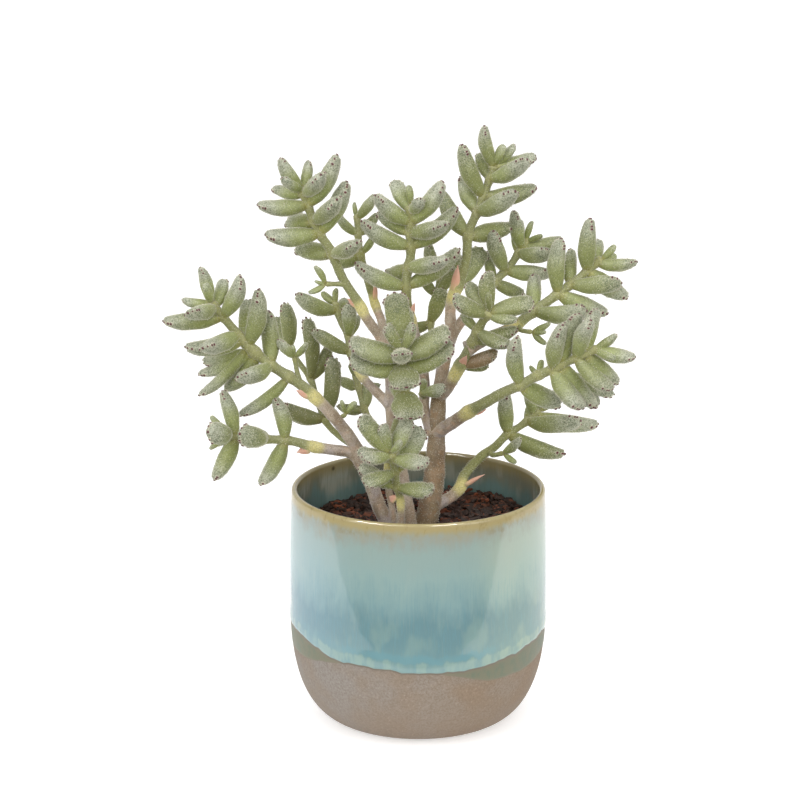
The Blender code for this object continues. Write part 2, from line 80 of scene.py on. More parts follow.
@dataclass(frozen=True)
class View:
    """The picture's view, and how a point that is seen in it maps to a real place."""

    distance: float = 1500.0
    pitch: float = math.radians(15.4)
    middle_x: float = -9.25
    middle_z: float = 165.0
    lens: float = 135.0
    sensor: float = 36.0

    def place(self, across: float, rise: float, back: float) -> Vector:
        """Finds the real place of a point given as it is seen.

        Args:
            across: Millimetres to the right of the pot's axis, as seen.
            rise: Millimetres above the middle of the view, as seen.
            back: Real distance behind the pot's axis.

        Returns:
            The place in millimetres.
        """
        sine, cosine = math.sin(self.pitch), math.cos(self.pitch)
        height = rise * (1 + cosine * back / self.distance) - sine * back
        height /= cosine + sine * rise / self.distance
        depth = self.distance + cosine * back - sine * height
        x = (across - self.middle_x) * depth / self.distance + self.middle_x
        return Vector((x, back, self.middle_z + height))


VIEW = View()


@dataclass(frozen=True)
class Pair:
    """Facing leaves on a stem: their joint as seen, and each tip with its own reach back.

    A fourth number is the leaf's width in millimetres, where it isn't the usual share of its length,
    and a fifth one is 1 for a leaf that has dried up.
    """

    joint: Seen
    tips: tuple[tuple[float, ...], ...]


@dataclass(frozen=True)
class Scar:
    """A swollen yellow joint on a stem, the tip of the dry bract it carries, if any, and its width."""

    at: Seen
    bract: Point | None = None
    wide: float = 4.6


@dataclass(frozen=True)
class Shoot:
    """One stem with its leaves. A stem with no parent stands in the soil."""

    name: str
    parent: str
    thick: tuple[float, float]
    path: tuple[Point, ...]
    pairs: tuple[Pair, ...] = ()
    scar: Scar | None = None
    apart: int = 1


SHOOTS = (
    Shoot(
        "trunk", "", (6.4, 3.9),
        ((4, -61.5, 0), (6, -50, 0), (8, -37, 1), (9, -20, 2), (10, 1.5, 3)),
    ),
    Shoot(
        "top_left", "", (3.3, 2.0),
        ((-4, -61.5, -9), (-6, -50, -8), (-8, -38, -6), (-10, -25, -4), (-13, -12.5, -2), (-14, -2.5, 0),
         (-14, 10, -2), (-16, 24, -2), (-20, 32.5, -2), (-26, 41, -3), (-30, 48.5, -4), (-38, 61, -6),
         (-44, 75, -8), (-49, 82.5, -9), (-54, 93.5, -10), (-58, 106, -10)),
        (Pair((-45, 72), ((-60, 77, 16), (-31, 78.5, -16))),
         Pair((-50, 83.5), ((-76, 82.5, -3), (-36, 108.5, 0))),
         Pair((-53, 89), ((-64, 91, 18), (-41, 100, -15))),
         Pair((-55, 97), ((-80, 97.5, -3), (-41, 122, 0))),
         Pair((-57, 101.5), ((-72, 106, 12), (-49, 112.5, -14))),
         Pair((-58, 105), ((-69, 120.5, -2), (-68, 111, -7), (-55, 119.5, 3)))),
        Scar((-30.75, 45), (-35.5, 50.5, -6), 3.6),
    ),
    Shoot(
        "left", "", (3.9, 1.9),
        ((-16, -61.5, -4), (-20, -52.5, -6), (-24, -40.5, -8), (-26, -35, -9), (-31, -24, -10),
         (-37, -15, -11), (-44, -6.5, -12), (-52, 1.5, -13), (-60, 8.5, -14), (-76, 19, -16),
         (-87, 29, -18), (-96, 39.5, -20), (-104, 48.5, -22)),
        (Pair((-66, 12), ((-89, -7, 4, 8.5),)), Pair((-74, 18), ((-76, 44, 10), (-90, 11.5, -16))),
         Pair((-80, 23), ((-96, 6, 12),)), Pair((-83, 25), ((-109, 13.5, 14, 8.5), (-107, 20, 14, 8))),
         Pair((-86, 27), ((-109, 3, 8, 8.5), (-80, 54.5, -6))),
         Pair((-88, 30), ((-116, 26.5, -6), (-86, 49.5, 14))), Pair((-90, 33), ((-107.5, 26, -18),)),
         Pair((-98, 41), ((-127, 39.5, 0), (-89, 61, -6))),
         Pair((-101, 45), ((-115, 43.5, -16), (-98, 60, 12))),
         Pair((-104, 48), ((-109, 66, 0), (-118, 50, 0), (-107, 58, -5)))),
        Scar((-51.75, 1.5), (-61, 4.5, -17)),
    ),
    Shoot(
        "low_left", "left", (3.0, 1.6),
        ((-28, -32, -9), (-34, -26.5, -10), (-42, -25, -12), (-52, -23.5, -14), (-61, -21, -16),
         (-67, -20, -17), (-77, -19.5, -19), (-90, -18, -22), (-98, -17.5, -23)),
        (Pair((-67, -20), ((-72, 1, 2), (-79, -41.5, 2))),
         Pair((-77, -19.5), ((-89, -17, -20), (-86, -19, 20))),
         Pair((-91, -18), ((-98, 4, 2), (-102, -39, 2))),
         Pair((-94, -18), ((-105, -16, -19), (-102, -20, 14))),
         Pair((-97, -17.5), ((-104, -8, 1), (-104.5, -24.5, 1)))),
        Scar((-51.75, -23.5), (-61, -26.5, -16)),
    ),
    Shoot(
        "behind_left", "left", (1.7, 1.4),
        ((-31.5, -23, -9), (-37, -20, 2), (-46, -11.5, 12), (-51, 1.5, 21), (-54, 10.5, 27),
         (-60, 19, 33), (-65, 26, 37), (-68, 31, 39)),
        (Pair((-47, -9.5), ((-68, -3, 4), (-43, 21, 4, 9.5))),
         Pair((-54, 11), ((-56, 40.5, 0, 9), (-44.5, 27.5, 6, 8.5))),
         Pair((-65, 26), ((-67, 48, 2), (-71, 41, 12)))),
    ),
    Shoot(
        "inner_left", "top_left", (2.6, 1.5),
        ((-14, -2.5, 0), (-22, 5, 5), (-29, 13, 10), (-34, 24, 16), (-35, 32, 20), (-38.5, 38.5, 23),
         (-41, 45.5, 26), (-41, 49, 27)),
        (Pair((-34, 24), ((-52.5, 34.5, 2, 10.5),)), Pair((-35, 31.5), ((-35, 48, -4), (-30, 42, 8))),
         Pair((-41, 44.5), ((-61, 52.5, -2), (-37, 50.5, 12))),
         Pair((-41, 48), ((-41, 56, 4), (-48, 54, 8)))),
        Scar((-29, 13)),
    ),
    Shoot(
        "centre", "trunk", (2.7, 2.1),
        ((7, -17, 2), (3, -5, 4), (3, 11, 5), (-1, 30, 2), (-5, 45, 0), (-6, 53, -2), (-6, 61, -3),
         (-4, 71.5, -4), (-4, 82, -5), (-4, 90, -6), (-4, 97.5, -6)),
        (Pair((-6, 57.5), ((-31, 68, -6), (20, 75, 4))), Pair((-5, 67), ((13.5, 70, -16), (-12, 64, 20))),
         Pair((-5, 76.5), ((-28, 89, -6), (19, 95.5, 4))),
         Pair((-4, 83), ((13, 87.5, -15), (-18, 95, 12, 12))),
         Pair((-4, 89), ((-21, 102, -4), (12, 108.5, -2))),
         Pair((-4, 93.5), ((-12, 109.5, 8), (1, 100.5, -10))), Pair((-4, 97), ((-5, 107.5, 0),))),
        Scar((-3.5, 41), (-2, 48.5, -4), 2.4),
    ),
    Shoot(
        "behind_centre", "top_left", (2.4, 1.5),
        ((-15, 19, -2), (-18, 37.5, 10), (-21, 46, 15), (-24, 55, 20), (-28, 69, 26), (-30, 80, 30),
         (-30.5, 89, 32), (-31, 93, 33)),
        (Pair((-30, 72), ((-22, 83, 4), (-42, 69, 14))), Pair((-30.5, 83), ((-41, 93, 0), (-21, 93, 8))),
         Pair((-30.5, 90), ((-22, 102.5, 0), (-32, 99, 3)))),
        Scar((-20.25, 48.5), (-21.5, 59, 12), 2.6),
        0,
    ),
    Shoot(
        "front", "", (1.6, 1.9),
        ((-12, -61.5, -23), (-15, -43.5, -26), (-15, -27.5, -27), (-12, -14, -28), (-7, 2.5, -31),
         (-8, 15, -36), (-8, 25, -42)),
        (Pair((-7, 4), ((-4, -9, -18, 15.5), (-10, 7.5, 20))),
         Pair((-8, 14.5), ((-34, 20.5, -4, 14), (17, 27, -4, 14))),
         Pair((-8, 17.5), ((-6, 6.5, -17, 15), (-8, 47, 8, 11))),
         Pair((-8, 21.5), ((-34, 29, -2, 13.5), (15, 35, -2, 13.5))),
         Pair((-8, 23), ((-8, 23, -20), (-12, 53, 0, 12.5))), Pair((-8, 25), ((-16, 37, -4), (-3, 38, -4)))),
        Scar((-15, -35)),
    ),
    Shoot(
        "low_front", "", (2.0, 1.8),
        ((-9, -65, -30), (-9, -51, -32), (-11, -42.5, -36), (-12, -34, -40), (-14, -26, -45)),
        (Pair((-11, -43.5), ((7, -45, -8), (-29, -33, 4))),
         Pair((-12, -36), ((-27, -41.5, -10), (1, -14, 8))),
         Pair((-13, -30), ((4, -31.5, -12), (-30, -25.5, 4))),
         Pair((-13, -28), ((-28, -28.5, -10), (-5, -9.5, 2))),
         Pair((-14, -26), ((-29, -9, -2), (-9, -20.5, -6), (-18, -12.5, -3)))),
        Scar((-9.25, -51), (-14.5, -48.5, -35)),
    ),
    Shoot(
        "top_right", "trunk", (3.3, 1.8),
        ((10, 1.5, 3), (12, 15, 4), (15, 27.5, 6), (16, 35, 8), (16, 46, 10), (18, 53.5, 11),
         (21, 60.5, 12), (24, 71, 13), (25, 83.5, 14), (30, 95.5, 15), (36, 111.5, 16), (38, 117.5, 16)),
        (Pair((19.5, 57), ((31.5, 75.5, 14),)), Pair((25, 82.5), ((12, 103.5, 6), (45.5, 87, 14))),
         Pair((29, 95), ((22, 111, 12), (48, 104, -12))),
         Pair((32, 101.5), ((22, 127, -4), (58, 106.5, 8))),
         Pair((35, 110), ((30.5, 123, 10), (54, 120, -10))),
         Pair((37, 116), ((33, 136.5, -2), (58, 122, 6))),
         Pair((38, 117.5), ((43, 127.5, -3), (48, 127.5, 1)))),
        Scar((17.25, 52.5), (19.75, 67, 6)),
    ),
    Shoot(
        "behind_right", "top_right", (2.7, 1.6),
        ((15, 29, 6), (18, 34.5, 9), (23, 41, 13), (31, 50, 17), (39, 60, 21), (46, 67.5, 24),
         (50, 73.5, 26), (55, 81, 28)),
        (Pair((39, 59), ((35, 73, 10), (52, 54, 8))), Pair((43, 65), ((37.5, 84, -9), (66, 63.5, -2))),
         Pair((50, 73), ((66, 74, -12), (51, 89.5, 12))), Pair((52, 76), ((48, 94, -2), (71.5, 80.5, 4))),
         Pair((54, 79), ((57, 89.5, 0), (62, 82.5, -3)))),
        Scar((27, 45.5)),
    ),
    Shoot(
        "inner_right", "top_right", (3.2, 2.0),
        ((11, 3.5, 2), (14.5, 6, -3), (19, 14, -7), (26, 27, -12), (31, 37.5, -16), (36, 44.5, -20)),
        (Pair((20, 19), ((39, 24, -2, 8.5, 1), (34.5, 17.5, 8))), Pair((26, 29), ((49, 35.5, 0, 8.5),)),
         Pair((29.5, 34), ((46, 27.5, -12), (22, 43, 8))), Pair((34, 41.5), ((18, 50.5, -8), (49, 40, -6))),
         Pair((35, 43.5), ((25, 58.5, 8), (57, 49, 2))), Pair((36, 45), ((35, 64, 2), (35, 53.5, -4)))),
        Scar((18.75, 13.5), (24, 21.5, -15.5)),
    ),
    Shoot(
        "far_right", "inner_right", (3.2, 1.7),
        ((24, 25.5, -11), (36, 31.5, -7), (47, 36, -3), (54, 41.5, -1), (60, 46, 1), (69, 52.5, 3),
         (79, 60, 6), (89, 68.5, 8), (92, 70.5, 8)),
        (Pair((58, 44.5), ((59, 62, 14), (83.5, 44.5, -10))), Pair((70, 53), ((71, 80, 0), (94, 43.5, 2))),
         Pair((76, 57.5), ((77, 74.5, 14), (101, 58.5, -8))), Pair((84, 64), ((86, 90, -2), (104, 52, 6))),
         Pair((89, 68), ((91, 79.5, 12), (109, 69, -2))), Pair((91, 70), ((98.5, 77.5, 2), (99, 72.5, 5)))),
        Scar((46.75, 36)),
    ),
    Shoot(
        "right", "trunk", (3.4, 1.7),
        ((9, -16, 2), (16, -12, -5), (25, -6, -12), (33, -1.5, -18), (43, 4, -24), (51, 7.5, -28),
         (59, 12, -31), (66, 15, -34), (73, 18.5, -36), (79, 21, -38), (90, 26, -41)),
        (Pair((51, 7.5), ((49, 30.5, -8), (70.5, -1, 10))),
         Pair((60.5, 12.5), ((62, 20, 5, 4.5), (56, 17, 6, 4))),
         Pair((67, 15), ((72, 37, -8), (82, -4, -8))), Pair((70, 17), ((89.5, -1.5, 10), (97, 3, 12, 8))),
         Pair((72, 18), ((80, 42.5, 4), (88, -2.5, 4))), Pair((79, 21), ((86, 39.5, -8), (96.5, 5.5, -8))),
         Pair((84, 23), ((89, 45, 6), (99.5, 9.5, 6))),
         Pair((88, 25), ((108, 21.5, -2), (99, 32.5, 2), (98.5, 21, -7)))),
        Scar((25.25, -6), (34, -5, -15), 4.0),
    ),
    Shoot(
        "low_right", "trunk", (3.1, 1.6),
        ((7, -53, 2), (16, -48.5, 8), (21, -43.5, 11), (23, -37.5, 14), (31, -28.5, 18), (38, -23.5, 21),
         (44, -17.5, 23), (51, -13, 25), (57, -8.5, 27), (61, -5.5, 28)),
        (Pair((45, -17), ((44, 4, 2), (72.5, -27, -2))),
         Pair((54, -10.5), ((80.5, -10.5, -12), (63, 2.5, 14))),
         Pair((58, -7.5), ((55, 6, 2), (89, -12, 6))), Pair((61, -5.5), ((69, 1, 2),))),
        Scar((20.75, -43.5), (33, -37.5, 8), 2.6),
    ),
    Shoot(
        "behind_middle", "top_right", (1.9, 1.4),
        ((12, 16, 4), (9, 27.5, 16), (6, 37.5, 26), (8, 48.5, 34), (10, 57.5, 39), (11, 62.5, 41)),
        (Pair((6, 39), ((12, 55.5, 2), (-7, 35, 6))), Pair((9, 52), ((17, 67.5, 4), (1, 65, 4))),
         Pair((11, 61), ((5, 78.5, 6), (21, 72, 6)))),
        None, 0,
    ),
    Shoot(
        "behind_low", "top_left", (1.8, 1.4),
        ((-10, -25, -4), (-19, -16, 8), (-26, -7, 16), (-29, 2.5, 22), (-31, 10, 26), (-32, 14, 28)),
        (Pair((-27, -5), ((-26, 7.5, 10), (-40, -3, 8))), Pair((-30, 6), ((-39, 10.5, 12), (-20, 7.5, 10))),
         Pair((-31.5, 12), ((-34, 18.5, -2), (-28, 20, 3)))),
        None, 0,
    ),
)

SPRIGS = (
    Shoot(
        "sprig_left", "left", (1.3, 1.1), ((-59, 7.5, -14), (-61, 15.5, -13), (-62, 22.5, -12)),
        (Pair((-62, 21), ((-70, 30, -4), (-56, 28.5, -4))), Pair((-62, 22.5), ((-63, 27.5, -2),))),
    ),
    Shoot(
        "sprig_left_base", "left", (1.0, 0.9), ((-41, -10, -11.5), (-36, -7, -9)),
        (Pair((-36, -7), ((-38.5, 0, -1), (-31, -1, -1))),),
    ),
    Shoot(
        "sprig_top_left", "top_left", (1.3, 1.1), ((-35, 58, -5.5), (-42, 58, -9), (-46.5, 58, -11)),
        (Pair((-46, 58), ((-52, 67, -1), (-52, 59.5, -1), (-55, 53.5, -3))),),
    ),
    Shoot(
        "sprig_far_right", "far_right", (1.2, 1.0), ((50, 38.5, -2.5), (51, 35, -6), (57, 34, -8)),
        (Pair((57, 34), ((66, 38.5, 0), (64, 34, -2), (64, 28, 0))),),
    ),
    Shoot(
        "sprig_low_right", "low_right", (1.3, 1.1), ((36, -25, 20), (37, -27.5, 16), (42.5, -26.5, 13)),
        (Pair((42.5, -26.5), ((51, -19.5, -4), (49, -24, 0), (49, -31.5, 0))),),
    ),
    Shoot(
        "sprig_centre", "centre", (1.3, 1.1), ((3, 1, 4.5), (1, 3.5, -1)),
        (Pair((1, 3.5), ((13, 5.5, -9), (3, 10.5, -3))),),
    ),
)


def smooth(low: float, high: float, value: np.ndarray | float) -> np.ndarray | float:
    """A soft step from 0 at low to 1 at high."""
    share = np.clip((value - low) / (high - low), 0.0, 1.0)
    return share * share * (3.0 - 2.0 * share)


# Working on meshes


def to_object_mode() -> None:
    """Leaves edit mode, if in it."""
    if bpy.context.mode != "OBJECT":
        bpy.ops.object.mode_set(mode="OBJECT")


def only(*pieces: Object) -> None:
    """Selects objects alone.

    Args:
        pieces: The objects, the first of which becomes active.
    """
    to_object_mode()
    bpy.ops.object.select_all(action="DESELECT")
    for piece in pieces:
        piece.select_set(True)
    bpy.context.view_layer.objects.active = pieces[0]


def into_edit(piece: Object, mode: str = "FACE") -> None:
    """Opens a piece in edit mode with nothing selected.

    Args:
        piece: The object.
        mode: What is to be selected: VERT or FACE.
    """
    only(piece)
    bpy.ops.object.mode_set(mode="EDIT")
    bpy.ops.mesh.select_mode(type=mode)
    bpy.ops.mesh.select_all(action="DESELECT")


def select_all() -> None:
    """Selects the whole mesh in edit mode."""
    bpy.ops.mesh.select_all(action="SELECT")


def extrude(x: float, y: float, z: float) -> None:
    """Draws the selection out by a move."""
    bpy.ops.mesh.extrude_region_move(TRANSFORM_OT_translate={"value": (x, y, z)})


def settle(piece: Object) -> None:
    """Moves the object's own place and turn into its mesh."""
    only(piece)
    bpy.ops.object.transform_apply(location=True, rotation=True, scale=True)


def select_faces(piece: Object, wanted: Callable[[Vector, Vector], bool]) -> int:
    """Selects in edit mode the faces whose centre and normal are wanted.

    Args:
        piece: The object in edit mode.
        wanted: Takes a face's centre and normal, and says whether to select it.

    Returns:
        How many faces are selected.
    """
    shape = bmesh.from_edit_mesh(piece.data)
    count = 0
    for face in shape.faces:
        chosen = wanted(face.calc_center_median(), face.normal)
        face.select_set(chosen)
        count += chosen
    bmesh.update_edit_mesh(piece.data)
    return count


def mark_selected(piece: Object, name: str, value: float) -> None:
    """Writes a value on the selected corners of a piece in edit mode.

    Args:
        piece: The object in edit mode.
        name: The name that materials read.
        value: The value.
    """
    shape = bmesh.from_edit_mesh(piece.data)
    layer = shape.verts.layers.float.get(name)
    if layer is None:
        layer = shape.verts.layers.float.new(name)
    for corner in shape.verts:
        if corner.select:
            corner[layer] = value
    bmesh.update_edit_mesh(piece.data)


def apply_modifier(piece: Object, kind: str, **settings: object) -> None:
    """Adds a modifier and applies it.

    Args:
        piece: The object.
        kind: The modifier's type.
        settings: Its settings by name.
    """
    only(piece)
    modifier = piece.modifiers.new(kind.title(), kind)
    for name, value in settings.items():
        setattr(modifier, name, value)
    bpy.ops.object.modifier_apply(modifier=modifier.name)


def read(rows: Sequence, name: str, wide: int, kind: type = np.float32) -> np.ndarray:
    """Reads a property of mesh data.

    Args:
        rows: The data, such as a mesh's vertices.
        name: The property.
        wide: How many numbers it has.
        kind: What the numbers are.

    Returns:
        The numbers, a row for each.
    """
    values = np.empty(len(rows) * wide, kind)
    rows.foreach_get(name, values)
    return values.reshape(-1, wide)


def corners_of(mesh: Mesh) -> np.ndarray:
    """A mesh's corners, in metres."""
    return read(mesh.vertices, "co", 3).astype(np.float64)


def put_corners(mesh: Mesh, places: np.ndarray) -> None:
    """Writes a mesh's corners, in metres."""
    mesh.vertices.foreach_set("co", places.astype(np.float32).ravel())
    mesh.update()


def put_values(mesh: Mesh, name: str, values: np.ndarray | float) -> None:
    """Writes a number for each corner.

    Args:
        mesh: The mesh.
        name: The name that materials read.
        values: The numbers, or one for all corners.
    """
    layer = mesh.attributes.get(name)
    if layer is None:
        layer = mesh.attributes.new(name, "FLOAT", "POINT")
    every = np.broadcast_to(np.asarray(values, np.float32), len(mesh.vertices))
    layer.data.foreach_set("value", np.ascontiguousarray(every))


def values_of(mesh: Mesh, name: str) -> np.ndarray:
    """A number for each corner, or zeros if the mesh has none of that name."""
    layer = mesh.attributes.get(name)
    return np.zeros(len(mesh.vertices), np.float32) if layer is None else read(layer.data, "value", 1)[:, 0]


def linked(name: str, data: ID) -> Object:
    """Puts a new object in the scene.

    Args:
        name: Its name.
        data: Its mesh, curve, light or camera.

    Returns:
        The object.
    """
    made = bpy.data.objects.new(name, data)
    bpy.context.scene.collection.objects.link(made)
    return made


def joined(name: str, pieces: list[Object]) -> Object:
    """Joins objects into one.

    Args:
        name: The whole's name.
        pieces: The objects.

    Returns:
        The whole.
    """
    only(*pieces)
    if len(pieces) > 1:
        bpy.ops.object.join()
    piece = bpy.context.view_layer.objects.active
    piece.name = piece.data.name = name
    return piece


def copy_of(piece: Object, name: str) -> Object:
    """A copy with a mesh of its own."""
    return linked(name, piece.data.copy())


def shade_rounded(piece: Object) -> None:
    """Shades a piece smooth all over."""
    only(piece)
    bpy.ops.object.shade_smooth()


def soft_edges(piece: Object, angle: float = 60.0) -> None:
    """Shades a piece smooth but for edges sharper than the angle."""
    only(piece)
    bpy.ops.object.shade_smooth_by_angle(angle=math.radians(angle))


def ripple(place: Vector, scale: float, depth: float) -> float:
    """Smooth noise of a given size in millimetres, between -depth and depth."""
    return depth * noise.noise(place / scale)


# Materials


class Wave:
    """A number that changes over a surface, and is reckoned with like a plain one."""

    def __init__(self, graph: "Graph", socket: NodeSocket) -> None:
        """Keeps the tree and the socket that gives the number."""
        self.graph, self.socket = graph, socket

    def __add__(self, other: object) -> "Wave":
        """The sum with a number or a wave."""
        return self.graph.math("ADD", self, other)

    def __sub__(self, other: object) -> "Wave":
        """What is left when a number or a wave is taken away."""
        return self.graph.math("SUBTRACT", self, other)

    def __rsub__(self, other: float) -> "Wave":
        """What is left of a number when this is taken away."""
        return self.graph.math("SUBTRACT", other, self)

    def __mul__(self, other: object) -> "Wave":
        """The product with a number or a wave."""
        return self.graph.math("MULTIPLY", self, other)

    def __truediv__(self, other: float) -> "Wave":
        """The share that this is of a number."""
        return self.graph.math("DIVIDE", self, other)

    def __abs__(self) -> "Wave":
        """The distance from 0."""
        return self.graph.math("ABSOLUTE", self)

    def step(self, low: float, high: float) -> "Wave":
        """A soft step from 0 where this is low to 1 where it is high. The low may be the larger."""
        made = self.graph.add("ShaderNodeMapRange", self, low, high, interpolation_type="SMOOTHSTEP")
        return Wave(self.graph, made.outputs["Result"])

    def swayed(self, *patterns: tuple["Wave", float]) -> "Wave":
        """Moves a height up and down by patterns.

        Args:
            patterns: Waves from 0 to 1, each with how far it moves the height.

        Returns:
            The new height.
        """
        height = self
        for pattern, reach in patterns:
            height = height + (pattern - 0.5) * reach
        return height


class Graph:
    """Short calls that place and link shader nodes in one tree."""

    def __init__(self, tree: NodeTree) -> None:
        """Keeps the tree."""
        self.tree = tree

    def add(self, kind: str, *fed: object, **settings: object) -> Node:
        """Adds a node.

        Args:
            kind: The node's type.
            fed: What its first inputs are fed with.
            settings: Its settings by name.

        Returns:
            The node.
        """
        made = self.tree.nodes.new(kind)
        for name, value in settings.items():
            setattr(made, name, value)
        for socket, value in zip(made.inputs, fed):
            self.feed(socket, value)
        return made

    def feed(self, socket: NodeSocket, value: object) -> None:
        """Links a socket, or sets its own value.

        Args:
            socket: The input.
            value: A wave or another socket to link, or a plain number, colour or vector.
        """
        source = value.socket if isinstance(value, Wave) else value
        if isinstance(source, NodeSocket):
            self.tree.links.new(source, socket)
        elif isinstance(value, tuple) and socket.type == "RGBA":
            socket.default_value = (*value, 1.0)
        else:
            socket.default_value = value

    def dress(self, node: Node, **values: object) -> None:
        """Feeds a node's inputs, each by its name with _ for a space."""
        for name, value in values.items():
            self.feed(node.inputs[name.replace("_", " ")], value)

    def math(self, operation: str, *values: object, clamp: bool = False) -> Wave:
        """A Math node on numbers and waves, which can keep its result between 0 and 1."""
        made = self.add("ShaderNodeMath", *values, operation=operation, use_clamp=clamp)
        return Wave(self, made.outputs[0])

    def mix(self, share: object, first: object, second: object, blend: str = "MIX") -> NodeSocket:
        """Mixes two colours.

        Args:
            share: How much of the second.
            first: The colour below.
            second: The colour above.
            blend: How the one lies on the other.

        Returns:
            The new colour.
        """
        made = self.add("ShaderNodeMix", data_type="RGBA", blend_type=blend)
        self.feed(made.inputs["Factor"], share)
        below, above = (socket for socket in made.inputs if socket.type == "RGBA")
        self.feed(below, first)
        self.feed(above, second)
        return next(socket for socket in made.outputs if socket.type == "RGBA")

    def coats(self, base: object, *coats: tuple[Wave, float, object]) -> NodeSocket:
        """Lays colours over a base, one after the other.

        Args:
            base: The colour below.
            coats: Where each lies, how much it covers there, and its colour.

        Returns:
            The colour on top.
        """
        for mask, cover, colour in coats:
            base = self.mix(mask if cover == 1.0 else mask * cover, base, colour)
        return base

    def toned(self, colour: object, tone: object, where: Wave | None = None) -> NodeSocket:
        """Multiplies a colour by a tone, all over or only where a wave is 1."""
        full = self.mix(1.0, colour, tone, "MULTIPLY")
        return full if where is None else self.mix(where, colour, full)

    def ramp(self, value: Wave, stops: Iterable[tuple[float, Colour]]) -> NodeSocket:
        """Makes a colour that runs through stops.

        Args:
            value: The place in the run, from 0 to 1.
            stops: Places, each with its colour.

        Returns:
            The colour.
        """
        made = self.add("ShaderNodeValToRGB", value)
        marks = made.color_ramp.elements
        stops = list(stops)
        while len(marks) < len(stops):
            marks.new(1.0)
        for mark, (share, colour) in zip(marks, stops):
            mark.position = share
            mark.color = (*colour, 1.0)
        return made.outputs["Color"]

    def place(self, stretch: Point = (1.0, 1.0, 1.0)) -> NodeSocket:
        """The piece's own coordinates.

        Args:
            stretch: How much faster a pattern changes along each axis.

        Returns:
            The coordinates in metres, stretched.
        """
        coordinates = self.add("ShaderNodeTexCoord").outputs["Object"]
        if stretch == (1.0, 1.0, 1.0):
            return coordinates
        return self.add("ShaderNodeVectorMath", coordinates, stretch, operation="MULTIPLY").outputs[0]

    def axes(self, vector: NodeSocket) -> tuple[Wave, ...]:
        """A vector's X, Y and Z."""
        return tuple(Wave(self, socket) for socket in self.add("ShaderNodeSeparateXYZ", vector).outputs)

    def distance_to(self, spot: Point) -> Wave:
        """The distance from a spot on the piece, in metres."""
        made = self.add("ShaderNodeVectorMath", self.place(), spot, operation="DISTANCE")
        return Wave(self, made.outputs["Value"])

    def value(self, name: str) -> Wave:
        """A number that the mesh carries under this name."""
        return Wave(self, self.add("ShaderNodeAttribute", attribute_name=name).outputs["Fac"])

    def noise(
        self, size_mm: float, detail: float = 2.0, stretch: Point = (1.0, 1.0, 1.0), rough: float = 0.5
    ) -> Wave:
        """Makes noise.

        Args:
            size_mm: About how large its grains are.
            detail: How many finer layers it has.
            stretch: How much faster it changes along each axis.
            rough: How strong the finer layers are.

        Returns:
            A number from 0 to 1.
        """
        made = self.add("ShaderNodeTexNoise")
        self.dress(
            made, Vector=self.place(stretch), Scale=1.0 / (size_mm * MM), Detail=detail, Roughness=rough
        )
        return Wave(self, made.outputs["Fac"])

    def bump(self, height: object, depth_mm: float, strength: float = 1.0) -> NodeSocket:
        """Makes a bumpy surface.

        Args:
            height: The height, from 0 to 1.
            depth_mm: How high 1 is.
            strength: How much of the bumps is seen.

        Returns:
            The normal.
        """
        made = self.add("ShaderNodeBump")
        self.dress(made, Strength=strength, Distance=depth_mm * MM, Height=height)
        return made.outputs["Normal"]


def new_material(name: str) -> tuple[Material, Graph, Node]:
    """Starts a material.

    Args:
        name: Its name.

    Returns:
        The material, its nodes and its Principled shader.
    """
    material = bpy.data.materials.new(name)
    material.use_nodes = True
    return material, Graph(material.node_tree), material.node_tree.nodes["Principled BSDF"]


def hair_grain() -> NodeTree:
    """The fine grain of short hairs over a fleshy surface, as a shared node group.

    Returns:
        A group from Skin, Hair, Dark and Amount to Color and Height.
    """
    name = "hair_grain"
    if name in bpy.data.node_groups:
        return bpy.data.node_groups[name]
    tree = bpy.data.node_groups.new(name, "ShaderNodeTree")
    for label, kind, into in (
        ("Skin", "Color", "INPUT"), ("Hair", "Color", "INPUT"), ("Dark", "Color", "INPUT"),
        ("Amount", "Float", "INPUT"), ("Color", "Color", "OUTPUT"), ("Height", "Float", "OUTPUT"),
    ):
        tree.interface.new_socket(name=label, in_out=into, socket_type=f"NodeSocket{kind}")
    graph = Graph(tree)
    given = graph.add("NodeGroupInput").outputs
    result = graph.add("NodeGroupOutput").inputs
    amount = Wave(graph, given["Amount"])
    level = graph.noise(0.72, 2.0, rough=0.8) + (graph.noise(4.5, 2.0) - 0.5) * 0.18
    pale = graph.math("MULTIPLY", level - (0.66 - amount * 0.14), 10.0, clamp=True)
    deep = level.step(0.51, 0.40) * amount
    colour = graph.coats(given["Skin"], (deep, 0.8, given["Dark"]), (pale, 0.55, given["Hair"]))
    graph.feed(result["Color"], colour)
    graph.feed(result["Height"], level)
    return tree


def haired(
    graph: Graph, skin: object, hair: Colour, dark: Colour, amount: object
) -> tuple[NodeSocket, NodeSocket]:
    """Puts the grain of short hairs on a skin.

    Args:
        graph: The material's nodes.
        skin: The skin's colour.
        hair: The hairs' colour.
        dark: The colour deep between them.
        amount: How thick they stand, from 0 to 1.

    Returns:
        The colour and the height.
    """
    group = graph.add("ShaderNodeGroup", node_tree=hair_grain())
    graph.dress(group, Skin=skin, Hair=hair, Dark=dark, Amount=amount)
    return group.outputs["Color"], group.outputs["Height"]


